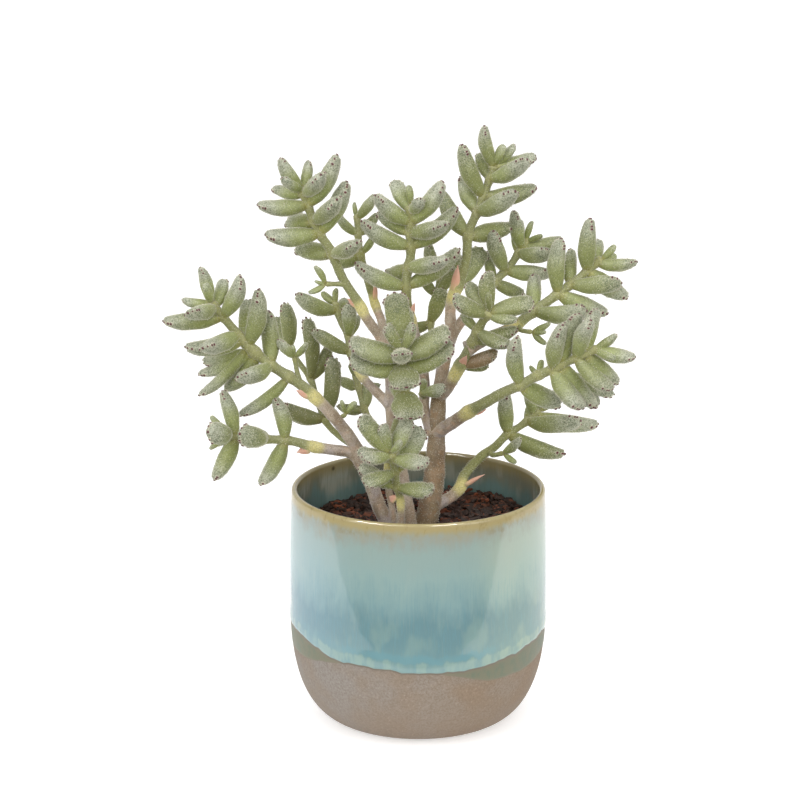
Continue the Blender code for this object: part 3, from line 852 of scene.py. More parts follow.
@dataclass(frozen=True)
class LeafFinish:
    """Fleshy green under short white fuzz, with dark red-brown teeth."""

    joint: Colour = (0.36, 0.32, 0.07)
    flesh: Colour = (0.305, 0.34, 0.105)
    apex: Colour = (0.25, 0.275, 0.155)
    frost: Colour = (0.43, 0.44, 0.335)
    # The cream margin: partly its thicker white hairs, partly a painted sheen of the fuzz seen edge-on.
    rim: Colour = (0.74, 0.70, 0.52)
    olive: Colour = (0.15, 0.145, 0.043)
    hair: Colour = (0.58, 0.58, 0.45)
    dark: Colour = (0.085, 0.11, 0.05)
    tooth: Colour = (0.10, 0.02, 0.02)
    dried: Colour = (0.33, 0.20, 0.10)
    sheen: Colour = (1.0, 0.96, 0.82)
    nap_mm: float = 0.16

    def material(self) -> Material:
        """Makes the leaves' material.

        Returns:
            A material that reads the values along, tooth, tint and margin of a leaf.
        """
        material, graph, shader = new_material("furry_leaf")
        along, tooth, tint, margin = (graph.value(name) for name in ("along", "tooth", "tint", "margin"))
        # The tint carries the leaf's age and painted shade; olive is mixed in by it.
        shade = graph.math("MINIMUM", tint, 1.0)
        outer = along.step(0.35, 0.9)
        run = ((0.0, self.joint), (0.18, self.flesh), (0.65, self.flesh), (1.0, self.apex))
        skin = graph.coats(
            graph.ramp(along, run),
            (shade, 0.8, self.olive),
            (outer * tint.step(0.45, 0.1), 0.8, self.frost),
            (tint.step(1.3, 1.8), 0.85, self.dried),
        )
        amount = outer * 0.55 + 0.48 - shade * 0.18
        fur, nap = haired(graph, skin, self.hair, self.dark, amount)
        colour = graph.coats(
            fur,
            # Painted sheen: a cream band along the margin, partly its thicker hairs and partly the pale glow
            # of fuzz at the edge.
            (margin * along.step(0.05, 0.35), 0.8, self.rim),
            (tooth.step(0.25, 0.6), 1.0, self.tooth),
        )
        graph.dress(
            shader,
            Base_Color=colour, Roughness=0.72, Sheen_Weight=1.0, Sheen_Roughness=0.32,
            Sheen_Tint=self.sheen, Normal=graph.bump(nap, self.nap_mm, 0.8),
        )
        return material


@dataclass(frozen=True)
class StemFinish:
    """Grey-brown fuzzy bark below, green above, and yellow at the swollen joints."""

    bark: Colour = (0.26, 0.195, 0.13)
    bark_light: Colour = (0.41, 0.335, 0.25)
    lilac: Colour = (0.42, 0.38, 0.40)
    rose: Colour = (0.47, 0.31, 0.20)
    green: Colour = (0.275, 0.285, 0.10)
    branch_tone: Colour = (1.24, 1.21, 1.19)
    trunk_tone: Colour = (0.76, 0.66, 0.47)
    knot: Colour = (0.74, 0.66, 0.25)
    hair: Colour = (0.62, 0.61, 0.50)
    dark: Colour = (0.10, 0.08, 0.05)
    sheen: Colour = (0.95, 0.90, 0.90)
    nap_mm: float = 0.18

    def material(self) -> Material:
        """Makes the stems' material.

        Returns:
            A material that reads the values green, knot and woody of a stem.
        """
        material, graph, shader = new_material("fuzzy_stem")
        bark = graph.coats(
            self.bark,
            (graph.noise(5.0, 3.0, (1.0, 1.0, 0.45)).step(0.35, 0.65), 1.0, self.bark_light),
            (graph.noise(9.0).step(0.45, 0.7), 0.5, self.lilac),
            (graph.noise(7.0).step(0.52, 0.66), 0.55, self.rose),
        )
        tone = graph.mix(graph.value("woody"), self.branch_tone, self.trunk_tone)
        skin = graph.coats(
            graph.toned(bark, tone),
            (graph.value("green"), 1.0, self.green),
            (graph.value("knot"), 1.0, self.knot),
        )
        fur, nap = haired(graph, skin, self.hair, self.dark, 0.42)
        graph.dress(
            shader,
            Base_Color=fur, Roughness=0.78, Sheen_Weight=0.5, Sheen_Roughness=0.4,
            Sheen_Tint=self.sheen, Normal=graph.bump(nap, self.nap_mm, 0.8),
        )
        return material


@dataclass(frozen=True)
class HairFinish:
    """Plain cream white hairs."""

    colour: Colour = (0.76, 0.74, 0.59)

    def material(self) -> Material:
        """Makes the hairs' material.

        Returns:
            A plain material, as a hair is too thin for a pattern.
        """
        material, graph, shader = new_material("white_hair")
        graph.dress(shader, Base_Color=self.colour, Roughness=0.7)
        return material


@dataclass(frozen=True)
class BractFinish:
    """Dry papery scales, salmon pink at the tip and yellow at the foot."""

    foot: Colour = (0.66, 0.54, 0.25)
    middle: Colour = (0.76, 0.40, 0.27)
    tip: Colour = (0.78, 0.44, 0.34)
    vein: Colour = (0.75, 0.55, 0.42)

    def material(self) -> Material:
        """Makes the bracts' material.

        Returns:
            A material that reads the value along of a bract.
        """
        material, graph, shader = new_material("dry_bract")
        veins = graph.noise(0.9)
        colour = graph.ramp(graph.value("along"), ((0.0, self.foot), (0.35, self.middle), (1.0, self.tip)))
        colour = graph.coats(colour, (veins.step(0.4, 0.7), 0.35, self.vein))
        graph.dress(shader, Base_Color=colour, Roughness=0.6, Normal=graph.bump(veins, 0.1))
        return material


@dataclass(frozen=True)
class GlazeFinish:
    """Reactive blue-green glaze over bare taupe stoneware, with an ochre lip.

    Spans run, in millimetres, from where a coat starts to where it is full.
    """

    lip: Colour = (0.40, 0.33, 0.16)
    lip_dark: Colour = (0.26, 0.205, 0.085)
    veil: Colour = (0.32, 0.325, 0.275)
    upper: Colour = (0.295, 0.39, 0.36)
    middle: Colour = (0.275, 0.39, 0.37)
    lower: Colour = (0.225, 0.345, 0.345)
    deep: Colour = (0.143, 0.25, 0.27)
    foot: Colour = (0.167, 0.28, 0.29)
    line: Colour = (0.15, 0.295, 0.325)
    mint: Colour = (0.245, 0.35, 0.31)
    # Painted reflections: the glaze is lightened, bluish on the left and warm on the right, where the side
    # soft boxes reflect.
    left_reflection_tone: Colour = (1.14, 1.12, 1.20)
    right_reflection_tone: Colour = (1.26, 1.14, 1.02)
    # A dark line below the glaze's edge: partly its own seam, partly painted shadow under the raised glaze.
    seam_and_shadow: Colour = (0.14, 0.115, 0.085)
    overlap: Colour = (0.15, 0.15, 0.095)
    overlap_green: Colour = (0.12, 0.145, 0.095)
    overlap_edge: Colour = (0.175, 0.15, 0.10)
    stone: Colour = (0.208, 0.158, 0.115)
    stone_dark: Colour = (0.16, 0.12, 0.088)
    stone_grey: Colour = (0.215, 0.182, 0.152)
    stone_pale: Colour = (0.35, 0.30, 0.25)
    # Painted light: the bare clay is tinted bluish on the left and warm on the right, as the side soft boxes
    # light it.
    stone_left_light_tint: Colour = (1.08, 1.13, 1.18)
    stone_right_light_tint: Colour = (1.06, 1.0, 0.90)
    inner: Colour = (0.19, 0.195, 0.145)
    inner_pale: Colour = (0.36, 0.38, 0.32)
    inner_teal: Colour = (0.12, 0.225, 0.225)
    inner_dark: Colour = (0.10, 0.12, 0.10)
    spot: Colour = (0.03, 0.018, 0.012)
    pot_height: float = 120.0
    # Where the painted reflections lie, in millimetres to the right of the middle.
    left_reflection_span: Span = (-26.0, -56.0)
    right_reflection_span: Span = (20.0, 46.0)
    veil_rise: Span = (103.5, 114.0)
    ochre_rise: Span = (108.5, 120.0)
    lip_rise: Span = (113.6, 117.2)
    inner_lip_rise: Span = (111.5, 118.5)
    smudge_height: float = 114.0
    spot_place: Point = (-0.0447, 0.0434, 0.1165)
    stone_roughness: float = 0.78
    overlap_roughness: float = 0.50
    glaze_roughness: float = 0.07

    @staticmethod
    def side_and_height(graph: Graph) -> tuple[Wave, Wave]:
        """The distance to the right of the pot's middle and the height above its base."""
        x, _, z = graph.axes(graph.place())
        return x / MM, z / MM

    def outside(self, graph: Graph) -> NodeSocket:
        """Paints the glaze outside, from the lip down to its lower edge.

        Args:
            graph: The material's nodes.

        Returns:
            The colour.
        """
        side, height = self.side_and_height(graph)
        fine = graph.noise(0.8, 3.0, (1.0, 1.0, 0.07), 0.65)
        broad = graph.noise(4.5, 3.0, (1.0, 1.0, 0.3), 0.55)
        cloud = graph.noise(20.0, 3.0)
        drip = graph.noise(3.2, 4.0, (1.0, 1.0, 0.5), 0.65)
        up = graph.value("glaze_up")
        run = up.swayed((fine, 1.6), (broad, 6.0))
        depths = (
            (0.40, self.foot), (0.51, self.deep), (0.57, self.deep), (0.66, self.lower),
            (0.76, self.middle), (0.87, self.upper),
        )
        level = height.swayed((fine, 5.0), (broad, 12.0), (cloud, 18.0)) / self.pot_height
        patch = graph.noise(9.0, 2.0, (1.0, 1.0, 0.5)).step(0.47, 0.70) * up.step(33.0, 20.0)
        band = run.step(10.0, 7.6) * run.step(4.6, 6.2) * graph.noise(15.0).step(0.36, 0.52)
        front = abs(side).step(44.0, 30.0) * 0.6 + 0.12
        edge = run.step(5.6, 4.0) * (broad.step(0.60, 0.40) * 0.65 + 0.15)
        body = graph.coats(
            graph.ramp(level, depths),
            (fine.step(0.50, 0.36) * height.step(104.0, 64.0), 0.40, self.line),
            (fine.step(0.52, 0.66), 0.16, self.mint),
            (patch, 0.45, self.mint),
            (band * front, 1.0, self.line),
            (edge, 1.0, self.mint),
        )
        # Painted reflections of the side soft boxes, lightening the glaze on the left and the right.
        body = graph.toned(body, self.left_reflection_tone, side.step(*self.left_reflection_span))
        body = graph.toned(body, self.right_reflection_tone, side.step(*self.right_reflection_span))
        smudge = abs(height.swayed((drip, 5.0), (cloud, 5.0)) - self.smudge_height).step(2.6, 0.4)
        smudge = smudge * drip.step(0.38, 0.62) * graph.noise(22.0).step(0.44, 0.62)
        return graph.coats(
            body,
            (height.swayed((drip, 12.0), (cloud, 14.0)).step(*self.veil_rise), 0.7, self.veil),
            (height.swayed((drip, 10.0), (cloud, 18.0), (fine, 3.0)).step(*self.ochre_rise), 0.5, self.lip),
            (smudge, 0.6, self.lip_dark),
            (
                height.swayed((drip, 4.0), (cloud, 3.0)).step(*self.lip_rise), 1.0,
                graph.coats(self.lip, (drip.step(0.52, 0.72), 0.7, self.lip_dark)),
            ),
        )

    def inside(self, graph: Graph) -> NodeSocket:
        """Paints the darker glaze inside, up to the ochre lip.

        Args:
            graph: The material's nodes.

        Returns:
            The colour.
        """
        _, height = self.side_and_height(graph)
        fine = graph.noise(0.9, 3.0, (1.0, 1.0, 0.06), 0.6)
        patch = graph.noise(13.0, 3.0, (1.0, 1.0, 0.4))
        return graph.coats(
            self.inner,
            (patch.step(0.45, 0.62), 0.7, self.inner_pale),
            (height.swayed((patch, 20.0)).step(111.0, 103.0), 0.75, self.inner_teal),
            (fine.step(0.45, 0.7), 0.25, self.inner_dark),
            (height.swayed((fine, 4.0), (patch, 5.0)).step(*self.inner_lip_rise), 0.85, self.lip_dark),
        )

    def clay(self, graph: Graph) -> NodeSocket:
        """Paints the unglazed clay.

        Args:
            graph: The material's nodes.

        Returns:
            The colour.
        """
        side, height = self.side_and_height(graph)
        grain = graph.noise(1.1, 4.0, rough=0.75)
        body = graph.coats(
            self.stone,
            (graph.noise(24.0, 3.0).step(0.4, 0.62), 1.0, self.stone_grey),
            (grain.step(0.46, 0.62), 0.7, self.stone_dark),
            (grain.step(0.42, 0.3), 0.45, self.stone_pale),
            # Painted shade: the clay darkens towards the foot, where the lower belly turns from the light.
            (height.step(40.0, 6.0), 0.4, self.stone_dark),
        )
        # Painted light: the clay is tinted bluish on the left and warm on the right.
        return graph.toned(body, graph.mix(side.step(35.0, -45.0), self.stone_right_light_tint, self.stone_left_light_tint))

    def material(self) -> Material:
        """Makes the pot's material.

        Returns:
            A material that reads the values glaze_up, overlap_up and inside of the pot.
        """
        material, graph, shader = new_material("reactive_glaze")
        up, over, inside = (graph.value(name) for name in ("glaze_up", "overlap_up", "inside"))
        inside = inside.step(0.45, 0.55)
        thin = graph.coats(
            self.overlap,
            (graph.noise(3.0, 3.0, (1.0, 1.0, 0.6)).step(0.42, 0.62), 0.8, self.overlap_green),
            (over.step(1.6, 0.2), 0.6, self.overlap_edge),
            (up.step(-3.2, -0.6), 0.7, self.overlap_edge),
        )
        colour = graph.coats(
            self.clay(graph),
            (over.step(-0.3, 0.3), 1.0, thin),
            # Painted shadow under the raised glaze's edge, partly the edge's own dark seam.
            (up.step(-1.3, -0.2), 1.0, self.seam_and_shadow),
            (up.step(-0.15, 0.35), 1.0, self.outside(graph)),
            (inside, 1.0, self.inside(graph)),
            (graph.distance_to(self.spot_place).step(0.0022, 0.0009), 1.0, self.spot),
        )
        glossy = graph.math("MAXIMUM", up.step(-0.2, 0.3), inside)
        dull = 1.0 - glossy
        smoother = self.stone_roughness - self.overlap_roughness
        rough = dull * (self.stone_roughness - over.step(-0.2, 0.4) * smoother)
        uneven = graph.noise(0.5, 3.0) * dull + graph.noise(9.0, 1.0) * 1.4
        graph.dress(
            shader,
            Base_Color=colour, Roughness=rough + glossy * self.glaze_roughness,
            Normal=graph.bump(uneven, 0.12, 0.6),
        )
        return material


@dataclass(frozen=True)
class BarkFinish:
    """Dark red-brown bark and coir."""

    dark: Colour = (0.026, 0.013, 0.008)
    brown: Colour = (0.050, 0.020, 0.010)
    rust: Colour = (0.22, 0.062, 0.024)

    def material(self) -> Material:
        """Makes the bark's material.

        Returns:
            A material that reads the value tint of each chip.
        """
        material, graph, shader = new_material("bark_chips")
        level = graph.value("tint") * 0.75 + graph.noise(1.1, 3.0, rough=0.6) * 0.35
        graph.dress(
            shader,
            Base_Color=graph.ramp(level, ((0.15, self.dark), (0.5, self.brown), (0.95, self.rust))),
            Roughness=0.8, Specular_IOR_Level=0.3, Normal=graph.bump(graph.noise(0.6, 3.0), 0.3),
        )
        return material


# The pot


@dataclass
class Pot:
    """The round-bellied pot: a closed turned shell with a rounded lip and the glaze's raised edge.

    The two edges of glaze are given as heights by degrees round from the front, to the right.
    """

    height: float = 120.0
    widest: float = 65.0
    rim: float = 64.0
    base: float = 36.0
    shoulder: float = 59.0
    roundness: float = 2.4
    wall: float = 3.0
    lip: float = 1.5
    floor: float = 6.0
    sides: int = 144
    belly_steps: int = 26
    wall_steps: int = 22
    inner_steps: int = 12
    lip_steps: int = 8
    fine_band: Span = (33.0, 60.0)
    fine_step: float = 0.55
    glaze_depth: float = 0.4
    glaze_roll: float = 0.34
    overlap_depth: float = 0.12
    unevenness: float = 0.22
    glaze_edge: tuple[Span, ...] = (
        (-180, 47.5), (-120, 50), (-75, 52), (-57, 50.6), (-43, 45.8), (-30, 45.3), (-17, 44.9), (-8, 43.7),
        (14, 43.5), (26, 44.4), (39, 45.9), (51, 47.2), (65, 49.6), (110, 49), (150, 46), (180, 47.5),
    )
    overlap_edge: tuple[Span, ...] = (
        (-180, 41), (-120, 38.5), (-75, 39), (-51, 40.9), (-40, 44.0), (-28, 46.0), (-5, 45.0), (8, 43.6),
        (18, 40.6), (26, 38.0), (34, 35.4), (50, 35.2), (68, 37.8), (120, 42), (150, 39), (180, 41),
    )

    @property
    def lip_height(self) -> float:
        """The height of the middle of the rounded lip."""
        return self.height - self.lip

    def belly(self, foot: float, widest: float, shoulder: float, steps: int) -> list[Span]:
        """The curve from the foot's edge up to the shoulder.

        Args:
            foot: Its radius at the foot.
            widest: Its radius at the shoulder.
            shoulder: The shoulder's height.
            steps: Its number of pieces.

        Returns:
            Points, each a radius and a height.
        """
        points = []
        for step in range(steps + 1):
            turn = math.pi / 2 * step / steps
            radius = foot + (widest - foot) * math.sin(turn) ** (2 / self.roundness)
            points.append((radius, shoulder * (1 - max(math.cos(turn), 0.0) ** (2 / self.roundness))))
        return points

    def upright(self, low: float, high: float, steps: int, bend: int) -> list[Span]:
        """The wall from above the shoulder to below the lip.

        Args:
            low: Its radius at the shoulder.
            high: Its radius at the lip.
            steps: Its number of pieces.
            bend: 1 for a straight wall, 2 for one that leans in more and more.

        Returns:
            Points, each a radius and a height.
        """
        shares = [step / steps for step in range(1, steps)]
        rise = self.lip_height - self.shoulder
        return [(low + (high - low) * share**bend, self.shoulder + rise * share) for share in shares]

    def outline(self) -> list[Span]:
        """The half section from the middle of the foot, round the lip, to the middle of the inside floor.

        Returns:
            Points, each a radius and a height.
        """
        outside = self.belly(self.base, self.widest, self.shoulder, self.belly_steps)
        outside += self.upright(self.widest, self.rim, self.wall_steps, 2)
        turns = [math.pi * step / self.lip_steps for step in range(self.lip_steps + 1)]
        lip = [
            (self.rim - self.lip + self.lip * math.cos(turn), self.lip_height + self.lip * math.sin(turn))
            for turn in turns
        ]
        inside = [
            (radius, height + self.floor)
            for radius, height in self.belly(
                self.base - self.wall, self.widest - self.wall, self.shoulder - self.floor, self.inner_steps
            )
        ]
        inside += self.upright(self.widest - self.wall, self.rim - 2 * self.lip, self.inner_steps, 1)
        foot = [(self.base * share, 0.0) for share in (0.0, 0.35, 0.7, 0.93)]
        floor = [(self.base * share, self.floor) for share in (0.6, 0.3, 0.0)]
        return self.refined([*foot, *outside, *lip, *reversed(inside)]) + floor

    def refined(self, points: list[Span]) -> list[Span]:
        """Adds points outside round the glaze's edge, so that it can stand proud.

        Args:
            points: The section's points.

        Returns:
            All points.
        """
        result = [points[0]]
        outside = True
        for before, after in zip(points, points[1:]):
            outside = outside and after[1] < self.lip_height
            close = outside and self.fine_band[0] < (before[1] + after[1]) / 2 < self.fine_band[1]
            pieces = max(1, round(math.dist(before, after) / self.fine_step)) if close else 1
            for step in range(1, pieces + 1):
                share = step / pieces
                result.append(tuple(low + (high - low) * share for low, high in zip(before, after)))
        return result

    def edge_at(self, edge: tuple[Span, ...], turn: np.ndarray, ripples: np.ndarray) -> np.ndarray:
        """The height of an edge of glaze at each turn.

        Args:
            edge: Heights by degrees round from the front.
            turn: The degrees round from the front, to the right.
            ripples: Small runs to add.

        Returns:
            The heights in millimetres.
        """
        angles, heights = (np.array(column, float) for column in zip(*edge))
        near = sum(np.interp(turn + shift, angles, heights, period=360) for shift in (-8, -4, 0, 4, 8))
        return near / 5 + ripples

    def build(self) -> Object:
        """Models the pot.

        Returns:
            The pot's object.
        """
        outline = self.outline()
        bpy.ops.mesh.primitive_plane_add(size=0.001)
        piece = bpy.context.active_object
        into_edit(piece, "VERT")
        select_all()
        bpy.ops.mesh.merge(type="CENTER")
        for (radius, height), (next_radius, next_height) in zip(outline, outline[1:]):
            extrude((next_radius - radius) * MM, 0.0, (next_height - height) * MM)
        select_all()
        bpy.ops.mesh.spin(steps=self.sides, angle=math.tau, center=(0, 0, 0), axis=(0, 0, 1))
        select_all()
        bpy.ops.mesh.remove_doubles(threshold=1e-6)
        bpy.ops.mesh.normals_make_consistent(inside=False)
        to_object_mode()
        piece.name = piece.data.name = "glazed_pot"
        self.shape_glaze(piece.data)
        soft_edges(piece)
        return piece

    def shape_glaze(self, mesh: Mesh) -> None:
        """Raises the glaze above the clay, makes the walls slightly uneven, and marks the regions.

        Args:
            mesh: The pot's mesh.
        """
        places = corners_of(mesh) / MM
        x, y, z = places.T
        radius = np.hypot(x, y)
        turn = np.degrees(np.arctan2(x, -y))
        flat = [Vector((a, b, 0.0)) for a, b in zip(x, y)]
        runs = np.array([ripple(p, 3.2, 0.9) + ripple(p, 9.0, 1.0) + ripple(p, 1.3, 0.35) for p in flat])
        slow = np.array([ripple(p + Vector((9, 9, 9)), 12.0, 0.9) + ripple(p, 4.0, 0.35) for p in flat])
        up = z - self.edge_at(self.glaze_edge, turn, runs)
        over = z - self.edge_at(self.overlap_edge, turn, slow)
        on_lip = z > self.lip_height - 0.2
        middle = np.interp(
            z, [self.floor, self.shoulder, self.lip_height],
            [self.base, self.widest - 1.5 * self.lip, self.rim - 1.2 * self.lip],
        )
        inside = (radius < middle) & (z > self.floor - 0.5) | on_lip & (radius < self.rim - 1.35 * self.lip)
        glazed, below_lip = smooth(-0.3, 0.5, up), smooth(119.0, 112.0, z)
        raised = self.glaze_depth * glazed
        raised += self.glaze_roll * smooth(-0.3, 0.8, up) * smooth(9.5, 2.0, up)
        raised += self.overlap_depth * smooth(-0.3, 0.5, over) * smooth(1.0, -0.5, up)
        raised = np.where(inside | on_lip, 0.0, raised) * below_lip
        sunk = self.glaze_depth * 0.5 * glazed * ~inside * below_lip
        wobble = np.array([ripple(Vector(p), 38.0, self.unevenness) for p in places]) * smooth(0.5, 20.0, z)
        places[:, :2] *= (1 + (raised - sunk + wobble) / np.maximum(radius, 5.0))[:, None]
        put_corners(mesh, places * MM)
        for name, values in (("glaze_up", up), ("overlap_up", over), ("inside", inside)):
            put_values(mesh, name, values)


# The soil


@dataclass
class Soil:
    """Potting mix in the pot: an uneven filling with loose bark chips on top.

    The chips' sizes are spans in millimetres, but their width is a share of their length.
    """

    level: float = SOIL_LEVEL
    dip: float = 4.0
    radius: float = 61.2
    depth: float = 14.0
    rings: int = 26
    chips: int = 2500
    chip_length: Span = (2.2, 5.6)
    chip_width: Span = (0.25, 0.6)
    chip_thickness: Span = (0.7, 1.8)
    chip_tilt: Span = (0.7, 0.42)
    pile: float = 2.2
    wall_gap: float = 2.5
    stem_gap: float = 1.2

    def surface(self, x: float, y: float) -> float:
        """The height of the filling's top at a place, in millimetres."""
        lumps = ripple(Vector((x, y, 3.0)), 14.0, 1.3) + ripple(Vector((x, y, 8.0)), 4.0, 0.7)
        return self.level - self.dip * max(-x, 0.0) / 65.0 + lumps

    def filling(self) -> Object:
        """Models the filling.

        Returns:
            A closed disc with a lumpy top.
        """
        bpy.ops.mesh.primitive_cylinder_add(
            vertices=96, radius=self.radius * MM, depth=self.depth * MM,
            location=(0, 0, (self.level - self.depth / 2) * MM), end_fill_type="NGON",
        )
        piece = bpy.context.active_object
        piece.name = piece.data.name = "potting_mix"
        settle(piece)
        into_edit(piece)
        select_faces(piece, lambda centre, normal: normal.z > 0.9)
        for _ in range(self.rings):
            bpy.ops.mesh.inset(thickness=self.radius * MM / (self.rings + 1))
        bpy.ops.mesh.poke()
        to_object_mode()
        places = corners_of(piece.data) / MM
        for row in places:
            if row[2] > self.level - 1.0:
                row[2] = self.surface(row[0], row[1])
        put_corners(piece.data, places * MM)
        put_values(piece.data, "tint", 0.12)
        soft_edges(piece, 80.0)
        return piece

    def chip_moulds(self) -> list[Object]:
        """Models a few splinters of bark.

        Returns:
            Their objects, each about 1 long in every direction.
        """
        moulds = []
        for number in range(5):
            source = random.Random(number)
            bpy.ops.mesh.primitive_cube_add(size=0.6)
            mould = bpy.context.active_object
            into_edit(mould)
            for end in (-1, 1):
                select_faces(mould, lambda centre, normal: normal.x * end > 0.9)
                extrude(0.2 * end, 0.0, 0.0)
                bpy.ops.transform.resize(value=(1.0, 0.45, 0.5))
            to_object_mode()
            places = corners_of(mould.data)
            for row in places:
                row[1] = row[1] * 1.6 + source.uniform(-0.14, 0.14)
                row[2] = row[2] * 1.6 + source.uniform(-0.16, 0.16)
                row[0] += source.uniform(-0.12, 0.12)
            put_corners(mould.data, places)
            moulds.append(mould)
        return moulds

    def scatter(self, stems: list[tuple[Vector, float]]) -> Object:
        """Lays chips over the filling, clear of the stems.

        Args:
            stems: Where each stem stands in the soil, with its radius, in millimetres.

        Returns:
            All chips as one piece.
        """
        source = random.Random("chips")
        moulds = self.chip_moulds()
        shapes = [corners_of(mould.data) for mould in moulds]
        faces = [[tuple(face.vertices) for face in mould.data.polygons] for mould in moulds]
        points: list[np.ndarray] = []
        polygons: list[tuple[int, ...]] = []
        tints: list[float] = []
        for _ in range(self.chips):
            reach = (self.radius - self.wall_gap) * math.sqrt(source.random())
            turn = source.uniform(0.0, math.tau)
            x, y = reach * math.cos(turn), reach * math.sin(turn)
            if any(math.dist((x, y), stem[:2]) < thick + self.stem_gap for stem, thick in stems):
                continue
            long = source.uniform(*self.chip_length)
            size = (long, long * source.uniform(*self.chip_width), source.uniform(*self.chip_thickness))
            roll, pitch = (source.gauss(0.0, spread) for spread in self.chip_tilt)
            tilt = Matrix.Rotation(roll, 3, "X") @ Matrix.Rotation(pitch, 3, "Y")
            spin = Matrix.Rotation(source.uniform(0.0, math.tau), 3, "Z") @ tilt
            pick = source.randrange(len(moulds))
            centre = np.array((x, y, self.surface(x, y) + source.uniform(0.0, self.pile)))
            start = len(tints)
            points.append((shapes[pick] * np.array(Vector(size))) @ np.array(spin).T + centre)
            polygons.extend(tuple(index + start for index in face) for face in faces[pick])
            tints.extend([source.random() ** 1.7] * len(shapes[pick]))
        for mould in moulds:
            bpy.data.objects.remove(mould)
        mesh = bpy.data.meshes.new("bark_topping")
        mesh.from_pydata((np.concatenate(points) * MM).tolist(), [], polygons)
        put_values(mesh, "tint", np.array(tints))
        return linked("bark_topping", mesh)


# The plant


class Route:
    """A stem's smooth middle line in millimetres, with its radius along it."""

    spacing = 1.3

    def __init__(self, shoot: Shoot) -> None:
        """Works out the line, for a planted stem from down in the soil.

        Args:
            shoot: The shoot.
        """
        real = [VIEW.place(*point) for point in shoot.path]
        seen = [Vector((*point[:2], 0.0)) for point in shoot.path]
        if not shoot.parent:
            foot = real[0].copy()
            foot.z = SOIL_LEVEL - ROOT_DEPTH
            real.insert(0, foot)
            seen.insert(0, Vector((seen[0].x, seen[0].y - ROOT_DEPTH, 0.0)))
        self.thick = shoot.thick
        self.points: list[Vector] = []
        self.seen: list[Vector] = []
        for index in range(len(real) - 1):
            steps = max(2, round((real[index + 1] - real[index]).length / self.spacing))
            for share in (step / steps for step in range(steps)):
                self.points.append(self.between(real, index, share))
                self.seen.append(seen[index].lerp(seen[index + 1], share))
        self.points.append(real[-1])
        self.seen.append(seen[-1])
        self.marks = [0.0]
        for here, there in zip(self.points, self.points[1:]):
            self.marks.append(self.marks[-1] + (there - here).length)

    @staticmethod
    def between(points: list[Vector], index: int, share: float) -> Vector:
        """Finds a place on the smooth curve through points.

        Args:
            points: The points.
            index: The number of the last point before the place.
            share: How far on towards the next point it is, from 0 to 1.

        Returns:
            The place.
        """
        before = points[max(index - 1, 0)]
        here, there = points[index], points[index + 1]
        after = points[min(index + 2, len(points) - 1)]
        return (
            here * 2
            + (there - before) * share
            + (before * 2 - here * 5 + there * 4 - after) * (share * share)
            + (here * 3 - before - there * 3 + after) * share ** 3
        ) / 2

    @property
    def length(self) -> float:
        """The line's whole length."""
        return self.marks[-1]

    def place(self, along: float) -> tuple[Vector, Vector]:
        """Finds a place on the line.

        Args:
            along: The distance along the line.

        Returns:
            The place and the line's direction there.
        """
        index = int(np.searchsorted(self.marks, along, side="right")) - 1
        index = min(max(index, 0), len(self.points) - 2)
        step = self.points[index + 1] - self.points[index]
        share = (along - self.marks[index]) / (self.marks[index + 1] - self.marks[index])
        before = self.points[max(index - 2, 0)]
        after = self.points[min(index + 3, len(self.points) - 1)]
        return self.points[index] + step * share, (after - before).normalized()

    def radius(self, along: float) -> float:
        """The plain taper's radius at a distance."""
        low, high = self.thick
        return low + (high - low) * along / self.length

    def nearest(self, seen: Seen) -> float:
        """The distance along of the point that is seen nearest to the given one."""
        target = Vector((*seen, 0.0))
        return self.marks[min(range(len(self.seen)), key=lambda index: (self.seen[index] - target).length)]


class LeafForm(Enum):
    """The kinds of leaf, from full-grown with many teeth to young and smooth.

    Each has its name, how blunt its end is, and where its teeth stand: the share of the length, and
    the side of the leaf.
    """

    MANY_TEETH = (
        "many_teeth", 4.4,
        ((0.8725, 1), (0.8725, -1), (0.915, 1), (0.95, -1), (0.975, 1), (0.975, -1)),
    )
    SOME_TEETH = ("some_teeth", 3.5, ((0.8725, -1), (0.915, 1), (0.95, -1), (0.975, 1)))
    FEW_TEETH = ("few_teeth", 3.0, ((0.95, 1), (0.975, -1)))
    YOUNG = ("young", 3.6, ())

    def __init__(self, label: str, blunt: float, teeth: tuple[tuple[float, int], ...]) -> None:
        """Keeps the kind's name, bluntness and teeth."""
        self.label, self.blunt, self.teeth = label, blunt, teeth


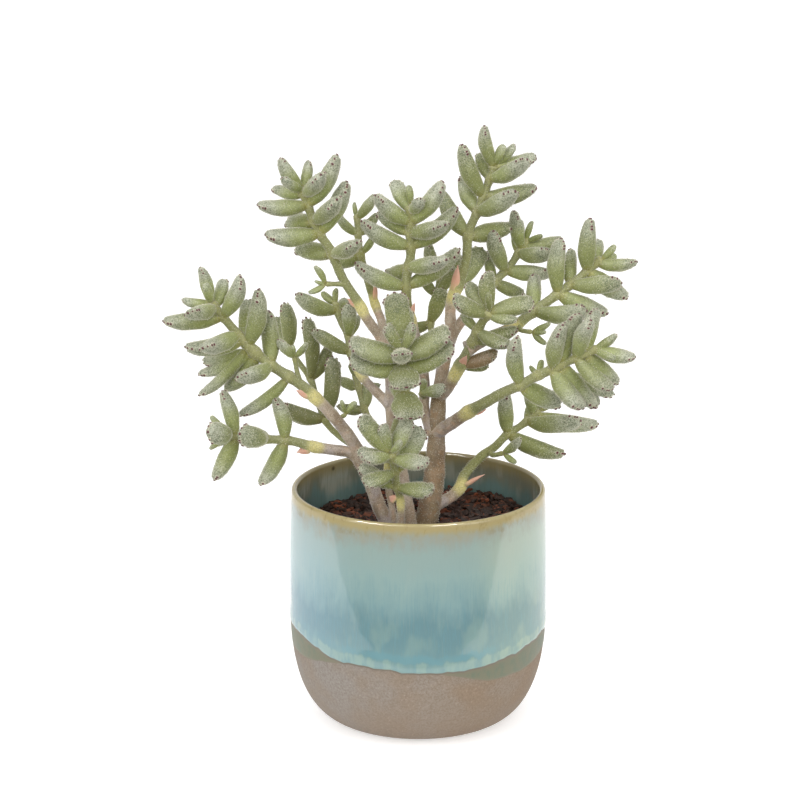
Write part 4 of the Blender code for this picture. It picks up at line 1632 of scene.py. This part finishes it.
@dataclass(frozen=True)
class LeafMould:
    """A furry leaf modelled once, 1 long along +X from its joint, with its upper side up.

    The places where it is broadest and thickest, and from where it thins, are shares of its length.
    """

    form: LeafForm
    width: float = 0.48
    thickness: float = 0.42
    stem_end: float = 0.41
    stem_thickness: float = 0.45
    end: Span = (0.14, 0.16)
    broadest: float = 0.58
    thickest: float = 0.45
    thins_from: float = 0.46
    thinning: float = 0.56
    tooth_height: float = 0.030
    stations: tuple[float, ...] = (
        0.0, 0.08, 0.19, 0.32, 0.46, 0.60, 0.72, 0.80, 0.85, 0.895, 0.935, 0.965, 0.985, 0.996, 1.0,
    )
    young_stations: tuple[float, ...] = (0.0, 0.14, 0.34, 0.56, 0.76, 0.90, 0.97, 1.0)

    def profile(self, share: float) -> Span:
        """Works out the leaf's section.

        Args:
            share: The share of its length.

        Returns:
            How wide and how thick the leaf is there, each at most 1.
        """
        if share == 1.0:
            return self.end
        if share < self.broadest:
            rise = math.sin(math.pi / 2 * share / self.broadest) ** 1.25
            wide = self.stem_end + (1 - self.stem_end) * rise
        else:
            wide = (1 - ((share - self.broadest) / (1 - self.broadest)) ** self.form.blunt) ** 0.42
        rise = math.sin(math.pi / 2 * min(share / self.thickest, 1.0))
        thick = self.stem_thickness + (1 - self.stem_thickness) * rise
        fall = max((share - self.thins_from) / (1 - self.thins_from), 0.0)
        return wide, thick - self.thinning * fall**2.2

    def build(self) -> Object:
        """Models the leaf from a ring by extrusions, and its teeth from faces on its margin.

        Returns:
            The mould's object.
        """
        young = self.form is LeafForm.YOUNG
        stations = self.young_stations if young else self.stations
        sides = 10 if young else 12
        bpy.ops.mesh.primitive_circle_add(vertices=sides, radius=0.5, fill_type="NGON")
        piece = bpy.context.active_object
        piece.name = f"mould_{self.form.label}"
        piece.rotation_euler = (0.0, math.pi / 2, 0.0)
        settle(piece)
        into_edit(piece)
        select_all()
        bpy.ops.transform.rotate(value=math.pi / sides, orient_axis="X", center_override=(0, 0, 0))
        wide, thick = self.profile(0.0)
        bpy.ops.transform.resize(value=(1.0, self.width * wide, self.thickness * thick))
        for before, after in zip(stations, stations[1:]):
            (wide, thick), (next_wide, next_thick) = self.profile(before), self.profile(after)
            extrude(after - before, 0.0, 0.0)
            bpy.ops.transform.resize(value=(1.0, next_wide / wide, next_thick / thick))
        select_all()
        bpy.ops.mesh.normals_make_consistent(inside=False)
        if not young:
            self.add_teeth(piece)
        to_object_mode()
        apply_modifier(piece, "SUBSURF", levels=1, render_levels=1)
        places = corners_of(piece.data)
        share = np.clip(places[:, 0], 0.0, 1.0)
        half = np.array([self.width * self.profile(min(place, 0.999))[0] / 2 for place in share])
        put_values(piece.data, "along", share * (0.72 if young else 1.0))
        put_values(piece.data, "margin", smooth(0.945, 0.99, np.abs(places[:, 1]) / half))
        shade_rounded(piece)
        return piece

    def add_teeth(self, piece: Object) -> None:
        """Draws a tooth out of the faces at each of its places and at the very end.

        Args:
            piece: The leaf in edit mode.
        """

        def on_margin(centre: Vector, normal: Vector) -> bool:
            """True for a face on the margin where a tooth stands, and for the end face."""
            near = (abs(centre.x - place) < 0.006 and centre.y * side > 0 for place, side in self.form.teeth)
            return centre.x > 0.9995 or (abs(centre.z) < 0.002 and any(near))

        count = select_faces(piece, on_margin)
        LOG.info("%s: %d teeth of %d", piece.name, count, len(self.form.teeth) + 1)
        for height, value in ((0.014, 0.3), (self.tooth_height, 1.0)):
            bpy.ops.mesh.extrude_faces_move(TRANSFORM_OT_shrink_fatten={"value": height})
            mark_selected(piece, "tooth", value)
        bpy.ops.mesh.select_all(action="DESELECT")


@dataclass
class Foliage:
    """The leaves of one shoot, each a copy of a mould fitted between its joint and its tip.

    The limits on a leaf's width and thickness are in millimetres.
    """

    moulds: dict[LeafForm, Object]
    widths: Span = (0.92, 1.08)
    thicknesses: Span = (0.92, 1.06)
    young_below: float = 12.5
    grown_from: float = 17.0
    most: Span = (11.5, 10.4)
    least: Span = (2.9, 2.5)
    bow: Span = (0.02, 0.07)
    lean: float = 0.03
    twist: float = 0.22
    lumps: float = 0.10
    broad_from: float = 12.0
    broader_foot: float = 0.42
    flatter_top: float = 0.84

    def form_for(self, length: float, source: random.Random) -> LeafForm:
        """Picks a leaf's form.

        Args:
            length: The leaf's length.
            source: The source of chance.

        Returns:
            The form.
        """
        if length < self.young_below:
            return LeafForm.YOUNG
        if length < self.grown_from:
            return source.choice((LeafForm.FEW_TEETH, LeafForm.SOME_TEETH))
        return source.choice((LeafForm.SOME_TEETH, LeafForm.MANY_TEETH, LeafForm.MANY_TEETH))

    def across_of(self, base: Vector, tips: list[Vector], number: int, stem: Vector) -> Vector:
        """Finds the direction of a leaf's width, square to its stem and to itself.

        Args:
            base: The joint.
            tips: The tips of all leaves at the joint.
            number: Which of them the leaf is.
            stem: The direction of the stem.

        Returns:
            The direction.
        """
        reach = (tips[number] - base).normalized()
        across = stem.cross(reach)
        if across.length < 0.42 and len(tips) > 1:
            plane = (tips[number - 1] - base).normalized().cross(reach)
            if plane.length > 0.2:
                across = plane * (1.0 if plane.dot(across) >= 0 else -1.0)
        if across.length < 0.1:
            across = reach.orthogonal()
        return across.normalized()

    def scales(self, form: LeafForm, length: float, width: float, source: random.Random) -> Span:
        """Works out how much wider and thicker than its mould a leaf is.

        Args:
            form: The leaf's form.
            length: Its length.
            width: Its width, or 0 for the usual share of its length.
            source: The source of chance.

        Returns:
            The two factors.
        """
        usual_width, usual_thickness = length * LeafMould.width, length * LeafMould.thickness
        wide = source.uniform(*self.widths) * min(1.0, self.most[0] / usual_width)
        thick = source.uniform(*self.thicknesses) * min(1.0, self.most[1] / usual_thickness)
        if width:
            wide = width / usual_width
            thick *= min(math.sqrt(wide), 1.0)
        elif form is LeafForm.YOUNG:
            wide *= max(1.0, self.least[0] / usual_width)
            thick *= max(0.9, self.least[1] / usual_thickness)
        return wide, thick

    def leaf(
        self, base: Vector, tip: Vector, across: Vector, stem: Vector, source: random.Random, age_and_shade: float,
        width: float,
    ) -> Object:
        """Fits one leaf.

        Args:
            base: The joint on the stem's middle line.
            tip: The leaf's tip.
            across: The direction of its width.
            stem: The direction of the stem.
            source: The source of chance.
            age_and_shade: From 0, at the shoot's tip, to 1, at its foot, with painted shade added for a
                shoot in the shade of others.
            width: Its width, or 0 for the usual share of its length.

        Returns:
            The leaf's object, in place.
        """
        reach = tip - base
        length = reach.length
        along = reach / length
        over = along.cross(across)
        if over.z < -0.6:
            over, across = -over, -across
        form = self.form_for(length, source)
        piece = copy_of(self.moulds[form], "leaf")
        places = corners_of(piece.data)
        share = places[:, 0].copy()
        wide, thick = self.scales(form, length, width, source)
        bow = source.uniform(*self.bow)
        lean = source.uniform(-self.lean, self.lean)
        turn = source.uniform(-self.twist, self.twist) * share
        y, z = places[:, 1] * wide, places[:, 2] * thick
        if width > self.broad_from:
            y = y * (1 + self.broader_foot * np.clip(1 - share / 0.6, 0.0, 1.0))
        top = 1.0 if over.dot(stem) > 0 else -1.0
        z = np.where(z * top > 0, z * self.flatter_top, z)
        y, z = y * np.cos(turn) - z * np.sin(turn), y * np.sin(turn) + z * np.cos(turn)
        arch = 4 * share * (1 - share)
        y = y + lean * arch
        z = z - bow * arch
        shift = source.uniform(0, 50)
        lump = np.array([noise.noise(Vector((a * 3.1 + shift, b * 5.0, c * 5.0))) for a, b, c in places])
        swell = 1 + self.lumps * lump * np.clip(share * 6, 0, 1)
        local = np.stack([share, y * swell, z * swell], axis=1) * length
        turned = local @ np.array([along, across, over]) + np.array(base)
        put_corners(piece.data, turned * MM)
        # The tint rises with age and with painted shade on shaded shoots.
        put_values(piece.data, "tint", min(1.0, max(0.0, 0.25 * age_and_shade + source.uniform(-0.12, 0.28))))
        return piece

    def leaves(self, shoot: Shoot, route: Route, darker: float) -> list[Object]:
        """Fits all leaves of a shoot.

        Args:
            shoot: The shoot.
            route: Its middle line.
            darker: Painted shade added to its leaves' age, for a shoot in the shade of others.

        Returns:
            The leaves.
        """
        source = random.Random(shoot.name)
        made = []
        for pair in shoot.pairs:
            mark = route.nearest(pair.joint)
            base, stem = route.place(mark)
            # Painted shade: a shaded shoot's darkening is added to the leaf's age.
            age_and_shade = 1 - mark / route.length + darker
            tips = [VIEW.place(spot[0], spot[1], base.y + spot[2]) for spot in pair.tips]
            for number, spot in enumerate(pair.tips):
                across = self.across_of(base, tips, number, stem)
                width = spot[3] if len(spot) > 3 else 0.0
                piece = self.leaf(base, tips[number], across, stem, source, age_and_shade, width)
                if len(spot) > 4:
                    put_values(piece.data, "tint", 1.0 + spot[4])
                made.append(piece)
        return made


@dataclass
class Stem:
    """A stem's mesh: a tapering tube, swollen where leaves and old joints sit.

    Each swelling is how much thicker it makes the stem, and how far along it reaches in millimetres.
    """

    route: Route
    shoot: Shoot
    resolution: int = 3
    at_leaves: Span = (0.30, 2.4)
    at_rings: Span = (0.05, 1.5)
    at_scar: Span = (0.22, 3.6)
    at_parent: Span = (0.28, 4.5)
    lumps: float = 0.05
    ring_gap: float = 13.0

    @cached_property
    def joints(self) -> list[float]:
        """How far along its leaves sit."""
        return [self.route.nearest(pair.joint) for pair in self.shoot.pairs]

    @cached_property
    def scar(self) -> float | None:
        """How far along its yellow joint is, if it has one."""
        return self.route.nearest(self.shoot.scar.at) if self.shoot.scar else None

    @cached_property
    def old_rings(self) -> list[float]:
        """How far along the faint rings are that fallen leaves left below the yellow joint."""
        end = self.route.length if self.scar is None else self.scar
        return [ring for ring in (end - self.ring_gap * step for step in range(1, 8)) if ring > 6.0]

    def swelling(self, along: float) -> float:
        """Works out how much thicker than its taper the stem is.

        Args:
            along: The distance along the stem.

        Returns:
            The factor.
        """
        swollen = [(joint, self.at_leaves) for joint in self.joints]
        swollen += [(ring, self.at_rings) for ring in self.old_rings]
        if self.scar is not None:
            swollen.append((self.scar, self.at_scar))
        if self.shoot.parent:
            swollen.append((0.0, self.at_parent))
        grown = sum((most * math.exp(-(((along - at) / reach) ** 2)) for at, (most, reach) in swollen), 1.0)
        place, _ = self.route.place(min(along, self.route.length))
        return grown + ripple(place, 5.0, self.lumps)

    def build(self) -> Object:
        """Models the stem, and marks where it is green, and where it is swollen and yellow.

        Returns:
            The stem's object.
        """
        route, name = self.route, f"stalk_{self.shoot.name}"
        curve = bpy.data.curves.new("stem", "CURVE")
        curve.dimensions = "3D"
        curve.bevel_depth = 1.0
        curve.bevel_resolution = self.resolution
        curve.use_fill_caps = True
        spline = curve.splines.new("POLY")
        spline.points.add(len(route.points) - 1)
        for corner, point, mark in zip(spline.points, route.points, route.marks):
            corner.co = (*(point * MM), 1.0)
            corner.radius = route.radius(mark) * self.swelling(mark) * MM
        spline.points[-1].radius *= 0.5
        only(linked(name, curve))
        bpy.ops.object.convert(target="MESH")
        piece = bpy.context.active_object
        piece.name = piece.data.name = name
        self.mark_ages(piece.data)
        shade_rounded(piece)
        return piece

    def mark_ages(self, mesh: Mesh) -> None:
        """Writes where the stem is green, yellow and woody.

        Args:
            mesh: The stem's mesh.
        """
        route = self.route
        tree = kdtree.KDTree(len(route.points))
        for index, point in enumerate(route.points):
            tree.insert(point * MM, index)
        tree.balance()
        marks = np.array([route.marks[tree.find(corner.co)[1]] for corner in mesh.vertices])
        knot = np.zeros(len(marks))
        turns_green = 0.0 if self.shoot.parent and self.joints else route.length * 2
        if self.scar is not None:
            turns_green = self.scar
            knot = 0.95 * np.exp(-(((marks - self.scar) / 4.4) ** 4))
        for joint in self.joints:
            knot = np.maximum(knot, 0.18 * np.exp(-(((marks - joint) / 2.0) ** 2)))
        put_values(mesh, "green", smooth(turns_green - 3.0, turns_green + 2.5, marks))
        put_values(mesh, "knot", knot)
        put_values(mesh, "woody", float(self.shoot.name == "trunk"))


@dataclass
class Bract:
    """A dry pointed scale beside a joint, modelled once from a plane.

    Its foot stands forward by a share of the stem's radius, and off the joint by millimetres.
    """

    cuts: int = 7
    thickness: float = 0.03
    forward: float = 0.8
    off_joint: float = 2.8

    def mould(self) -> Object:
        """Models the scale.

        Returns:
            An object 1 long along +X.
        """
        bpy.ops.mesh.primitive_plane_add(size=1.0)
        piece = bpy.context.active_object
        into_edit(piece)
        select_all()
        bpy.ops.transform.translate(value=(0.5, 0.0, 0.0))
        bpy.ops.mesh.subdivide(number_cuts=self.cuts)
        to_object_mode()
        places = corners_of(piece.data)
        share = places[:, 0].clip(0, 1)
        taper = (0.92 + 0.5 * share - 1.40 * share**2) * (1 - share**8)
        arch = 0.10 * np.sin(share * math.pi * 0.9) + 0.02 * np.sin(share * 19)
        places[:, 2] = 0.5 * places[:, 1] ** 2 + arch
        places[:, 1] *= np.maximum(taper, 0.03)
        put_corners(piece.data, places)
        put_values(piece.data, "along", share)
        apply_modifier(piece, "SOLIDIFY", thickness=self.thickness, offset=0.0)
        shade_rounded(piece)
        return piece

    def place(self, mould: Object, foot: Vector, tip: Vector, wide: float) -> Object:
        """Puts a copy of the scale in its place, cupped towards the viewer.

        Args:
            mould: The scale.
            foot: Where it grows from.
            tip: Where it ends.
            wide: Its width in millimetres.

        Returns:
            The copy.
        """
        reach = tip - foot
        along = reach.normalized()
        across = along.cross(Vector((0.0, -1.0, 0.0))).normalized()
        over = along.cross(across)
        piece = copy_of(mould, "bract")
        local = corners_of(piece.data) * np.array((reach.length, wide, 0.5 * (reach.length + wide)))
        put_corners(piece.data, (local @ np.array([along, across, over]) + np.array(foot)) * MM)
        return piece


@dataclass
class Fuzz:
    """Short hairs on a piece, each a closed spike that is wider than it is thick.

    Sizes are in millimetres. Hairs stand at least as thick as sparse, thicker towards a leaf's end, and
    thickest on its margin.
    """

    material: Material
    length: Span = (0.55, 1.2)
    half_width: float = 0.14
    half_thickness: float = 0.04
    sunk: float = 0.06
    lean: float = 0.42
    sparse: float = 0.16
    towards_end: float = 0.5
    on_margin: float = 19.0

    def grow(self, name: str, pieces: list[tuple[Object, float]]) -> Object:
        """Grows hairs on pieces.

        Args:
            name: The hairs' name.
            pieces: Each piece with its number of hairs in a square millimetre.

        Returns:
            The hairs as one piece.
        """
        chance = np.random.default_rng(zlib.crc32(name.encode()))
        sprouted = [self.sprout(piece.data, density, chance) for piece, density in pieces]
        roots, ways = (np.concatenate(part) for part in zip(*sprouted))
        mesh = self.spikes(name, roots, ways, chance)
        mesh.materials.append(self.material)
        return linked(name, mesh)

    def sprout(
        self, mesh: Mesh, density: float, chance: np.random.Generator
    ) -> tuple[np.ndarray, np.ndarray]:
        """Picks where hairs stand on a mesh, and where they point.

        Args:
            mesh: The mesh.
            density: How many hairs stand on a square millimetre.
            chance: The source of chance.

        Returns:
            The hairs' roots and directions.
        """
        places = corners_of(mesh) / MM
        mesh.calc_loop_triangles()
        faces = read(mesh.loop_triangles, "vertices", 3, np.int32)
        normals = read(mesh.vertex_normals, "vector", 3)
        corners = places[faces]
        sides = corners[:, 1] - corners[:, 0], corners[:, 2] - corners[:, 0]
        area = np.linalg.norm(np.cross(*sides), axis=1) / 2
        along, margin = (values_of(mesh, value)[faces].mean(1) for value in ("along", "margin"))
        bare = values_of(mesh, "tooth")[faces].max(1) >= 0.4
        weight = area * (self.sparse + self.towards_end * along**2) * (1 + self.on_margin * margin) * ~bare
        count = int(weight.sum() * density)
        picked = chance.choice(len(faces), count, p=weight / weight.sum())
        first, second = chance.random((2, count))
        flip = first + second > 1
        first, second = np.where(flip, 1 - first, first), np.where(flip, 1 - second, second)
        shares = np.stack([1 - first - second, first, second], axis=1)[:, :, None]
        root = (corners[picked] * shares).sum(1)
        normal = (normals[faces[picked]] * shares).sum(1)
        way = normal + chance.normal(0.0, self.lean, (count, 3))
        return root - self.sunk * normal, way / np.linalg.norm(way, axis=1, keepdims=True)

    def spikes(self, name: str, root: np.ndarray, way: np.ndarray, chance: np.random.Generator) -> Mesh:
        """Makes the mesh of all spikes.

        Args:
            name: Its name.
            root: The hairs' roots.
            way: Their directions.
            chance: The source of chance.

        Returns:
            The mesh.
        """
        count = len(root)
        side = np.cross(way, chance.normal(size=(count, 3)))
        side /= np.linalg.norm(side, axis=1, keepdims=True)
        other = np.cross(way, side)
        long = chance.uniform(*self.length, (count, 1))
        ring = [
            root + self.half_width * math.sin(turn) * other + self.half_thickness * math.cos(turn) * side
            for turn in (0.0, math.tau / 3, 2 * math.tau / 3)
        ]
        points = np.stack([*ring, root + way * long], axis=1).reshape(-1, 3) * MM
        pattern = np.array([0, 1, 3, 1, 2, 3, 2, 0, 3, 0, 2, 1])
        corners = (np.arange(count)[:, None] * 4 + pattern).ravel()
        mesh = bpy.data.meshes.new(name)
        mesh.vertices.add(len(points))
        mesh.loops.add(len(corners))
        mesh.polygons.add(count * 4)
        mesh.vertices.foreach_set("co", points.astype(np.float32).ravel())
        mesh.loops.foreach_set("vertex_index", corners.astype(np.int32))
        mesh.polygons.foreach_set("loop_start", np.arange(0, count * 12, 3, dtype=np.int32))
        mesh.update(calc_edges=True)
        mesh.validate()
        return mesh


class Plant:
    """The whole plant: stems, leaves, hairs, bracts and sprigs.

    The hairs are given as how many stand on a square millimetre.
    """

    leaf_hairs = 1.5
    stem_hairs = 3.6
    furrier = {"front": 2.0, "low_front": 2.4, "centre": 1.5, "right": 1.3}
    behind_furry = 0.6
    # Painted shade: shoots behind and beneath others get darker, more olive leaves, as if in shadow.
    darker = {
        "top_left": 0.0, "left": 0.0, "low_left": 0.0, "centre": 0.0, "far_right": 0.0, "right": 0.0,
        "behind_left": 2.2, "behind_low": 1.6, "behind_middle": 1.4, "behind_centre": 1.0, "front": 1.3,
        "inner_right": 1.8,
    }
    usual_darker = 0.5

    def __init__(self) -> None:
        """Makes the finishes, the moulds and the stems' lines."""
        self.leaf_finish = LeafFinish().material()
        self.stem_finish = StemFinish().material()
        self.fuzz = Fuzz(HairFinish().material())
        self.foliage = Foliage({form: LeafMould(form).build() for form in LeafForm})
        self.routes = {shoot.name: Route(shoot) for shoot in (*SHOOTS, *SPRIGS)}

    def keep(self, piece: Object, slot: str, *nodes: str) -> None:
        """Ties a finished piece to the frame.

        Args:
            piece: The piece.
            slot: The slot of its look, which is not used.
            nodes: The CAD nodes that it replaces.
        """
        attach(piece, "root")
        if nodes:
            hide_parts(*nodes)
        LOG.info("%s: %d faces", piece.name, len(piece.data.polygons))

    def parts(self, shoot: Shoot, darker: float) -> tuple[Object, list[Object]]:
        """Builds a shoot's stalk and its leaves, each in its finish.

        Args:
            shoot: The shoot.
            darker: Painted shade added to its leaves' age, for a shoot in the shade of others.

        Returns:
            The stalk and the leaves.
        """
        route = self.routes[shoot.name]
        stalk = Stem(route, shoot).build()
        stalk.data.materials.append(self.stem_finish)
        leaves = self.foliage.leaves(shoot, route, darker)
        for leaf in leaves:
            leaf.data.materials.append(self.leaf_finish)
        return stalk, leaves

    def grow(self, shoot: Shoot) -> None:
        """Builds one shoot.

        Args:
            shoot: The shoot. Its stalk, leaves and hairs become a piece each.
        """
        name = shoot.name
        stalk, leaves = self.parts(shoot, self.darker.get(name, self.usual_darker))
        self.keep(stalk, "stem_bark", f"stem_{name}")
        hairy = [(stalk, self.stem_hairs)]
        if leaves:
            foliage = joined(f"foliage_{name}", leaves)
            self.keep(foliage, "leaf_green", f"tip_{name}", *[f"leaves_{name}"] * shoot.apart)
            usual = self.behind_furry if name.startswith("behind") else 1.0
            hairy.append((foliage, self.leaf_hairs * self.furrier.get(name, usual)))
        self.keep(self.fuzz.grow(f"fuzz_{name}", hairy), "leaf_green")

    def sprout(self, sprig: Shoot) -> None:
        """Builds one sprig.

        Args:
            sprig: The sprig. Its stalk and leaves become one piece, its hairs another.
        """
        stalk, leaves = self.parts(sprig, 0.0)
        piece = joined(f"young_{sprig.name}", [stalk, *leaves])
        self.keep(piece, "leaf_green", sprig.name)
        self.keep(self.fuzz.grow(f"fuzz_{sprig.name}", [(piece, self.leaf_hairs)]), "leaf_green")

    def bracts(self) -> None:
        """Places the dry scales at the swollen joints."""
        bract = Bract()
        mould = bract.mould()
        made = []
        for shoot in SHOOTS:
            if shoot.scar and shoot.scar.bract:
                route = self.routes[shoot.name]
                mark = route.nearest(shoot.scar.at)
                foot, _ = route.place(mark)
                foot.y -= bract.forward * route.radius(mark)
                tip = VIEW.place(*shoot.scar.bract)
                foot = foot + (tip - foot).normalized() * bract.off_joint
                made.append(bract.place(mould, foot, tip, shoot.scar.wide))
        piece = joined("dry_bracts", made)
        piece.data.materials.append(BractFinish().material())
        bpy.data.objects.remove(mould)
        self.keep(piece, "stem_bark")

    def build(self) -> None:
        """Builds every shoot, sprig and bract."""
        for shoot in SHOOTS:
            self.grow(shoot)
        for sprig in SPRIGS:
            self.sprout(sprig)
        self.bracts()
        for mould in self.foliage.moulds.values():
            bpy.data.objects.remove(mould)

    def planted(self) -> list[tuple[Vector, float]]:
        """Where each planted stem meets the soil, with its radius."""
        planted = [shoot for shoot in SHOOTS if not shoot.parent]
        return [(self.routes[shoot.name].place(ROOT_DEPTH)[0], shoot.thick[0]) for shoot in planted]


# The studio


@dataclass(frozen=True)
class SoftBox:
    """A soft light. Where it stands, what it points at and its size are in metres, its power in watts."""

    name: str
    place: Point
    aim: Point
    size: Span
    power: float
    fills: bool = True
    glints: bool = True

    def build(self) -> None:
        """Adds the light."""
        data = bpy.data.lights.new(self.name, "AREA")
        data.shape = "RECTANGLE"
        data.size, data.size_y = self.size
        data.energy = self.power
        lamp = linked(self.name, data)
        lamp.location = self.place
        lamp.rotation_euler = (Vector(self.aim) - Vector(self.place)).to_track_quat("-Z", "Y").to_euler()
        lamp.visible_diffuse, lamp.visible_glossy = self.fills, self.glints


@dataclass
class Studio:
    """Floor, lights, camera and white surroundings, which are dimmer than 1 in some directions."""

    floor_colour: Colour = (0.80, 0.80, 0.80)
    floor_glow: float = 0.45
    floor_radius: float = 2.15
    floor_front: float = 0.17
    front: float = 0.85
    sides: float = 0.75
    top: float = 0.8
    below: float = 0.10
    boxes: tuple[SoftBox, ...] = (
        SoftBox("top_box", (0, 0.2, 2.4), (0, 0, 0), (2.6, 2.6), 6.0),
        SoftBox("front_fill", (0, -1.8, 0.8), (0, 0, 0.15), (1.2, 1.0), 11.5, glints=False),
        SoftBox("left_box", (-1.3, -1.0, 0.8), (0, 0, 0.15), (0.7, 1.3), 8.0),
        SoftBox("right_box", (1.3, -1.0, 0.8), (0, 0, 0.15), (0.7, 1.3), 6.5),
        SoftBox("left_strip", (-0.72, -0.8, 1.2), (0, 0, 0.12), (0.95, 0.1), 44.0, fills=False),
        SoftBox("right_strip", (0.45, -0.8, 1.2), (0, 0, 0.12), (0.6, 0.1), 26.0, fills=False),
    )

    def floor(self) -> None:
        """Lays a wide pale floor whose front edge is a broad arc, just outside the picture."""
        bpy.ops.mesh.primitive_circle_add(
            vertices=256, radius=self.floor_radius, fill_type="NGON",
            location=(0, self.floor_radius - self.floor_front, 0),
        )
        floor = bpy.context.active_object
        floor.name = "studio_floor"
        settle(floor)
        material, graph, shader = new_material("pale_floor")
        graph.dress(
            shader,
            Base_Color=self.floor_colour, Roughness=0.9, Emission_Color=(1.0, 1.0, 1.0),
            Emission_Strength=self.floor_glow,
        )
        floor.data.materials.append(material)

    def surroundings(self) -> None:
        """Makes the surroundings dimmer in front, above and beside, and dark below the floor."""
        world = bpy.data.worlds.new("studio_white")
        world.use_nodes = True
        graph = Graph(world.node_tree)
        x, y, z = graph.axes(graph.add("ShaderNodeTexCoord").outputs["Generated"])
        level = 1.0 - y.step(-0.25, -0.75) * (1.0 - self.front)
        level = level - abs(x).step(0.55, 0.9) * (1.0 - self.sides)
        level = level - z.step(0.45, 0.85) * (1.0 - self.top)
        level = level * (1.0 - z.step(0.0, -0.06) * (1.0 - self.below))
        seen = graph.add("ShaderNodeLightPath").outputs["Is Camera Ray"]
        background = world.node_tree.nodes["Background"]
        graph.dress(background, Color=(1.0, 1.0, 1.0), Strength=graph.math("MAXIMUM", level, seen))
        bpy.context.scene.world = world

    def camera(self) -> None:
        """Stands the camera where the picture was taken from."""
        data = bpy.data.cameras.new("camera")
        data.lens = VIEW.lens
        data.sensor_width = VIEW.sensor
        data.dof.use_dof = False
        data.clip_end = 30.0
        camera = linked("camera", data)
        middle = Vector((VIEW.middle_x, 0.0, VIEW.middle_z))
        away = Vector((0.0, -math.cos(VIEW.pitch), math.sin(VIEW.pitch))) * VIEW.distance
        camera.location = (middle + away) * MM
        camera.rotation_euler = (math.pi / 2 - VIEW.pitch, 0.0, 0.0)
        bpy.context.scene.camera = camera

    def build(self) -> None:
        """Sets up the studio."""
        self.camera()
        self.surroundings()
        for box in self.boxes:
            box.build()
        self.floor()
        settings = bpy.context.scene.view_settings
        settings.view_transform = "Standard"
        settings.look = "None"


def main() -> None:
    """Builds the studio, the pot, the plant and the soil."""
    logging.basicConfig(level=logging.INFO, format="%(message)s")
    Studio().build()
    pot = Pot().build()
    pot.data.materials.append(GlazeFinish().material())
    plant = Plant()
    plant.keep(pot, "glaze", "pot")
    plant.build()
    soil = Soil()
    bark = BarkFinish().material()
    filling = soil.filling()
    topping = soil.scatter(plant.planted())
    for piece in (filling, topping):
        piece.data.materials.append(bark)
    plant.keep(filling, "bark_chips", "soil")
    plant.keep(topping, "bark_chips")


if __name__ == "__main__":
    main()
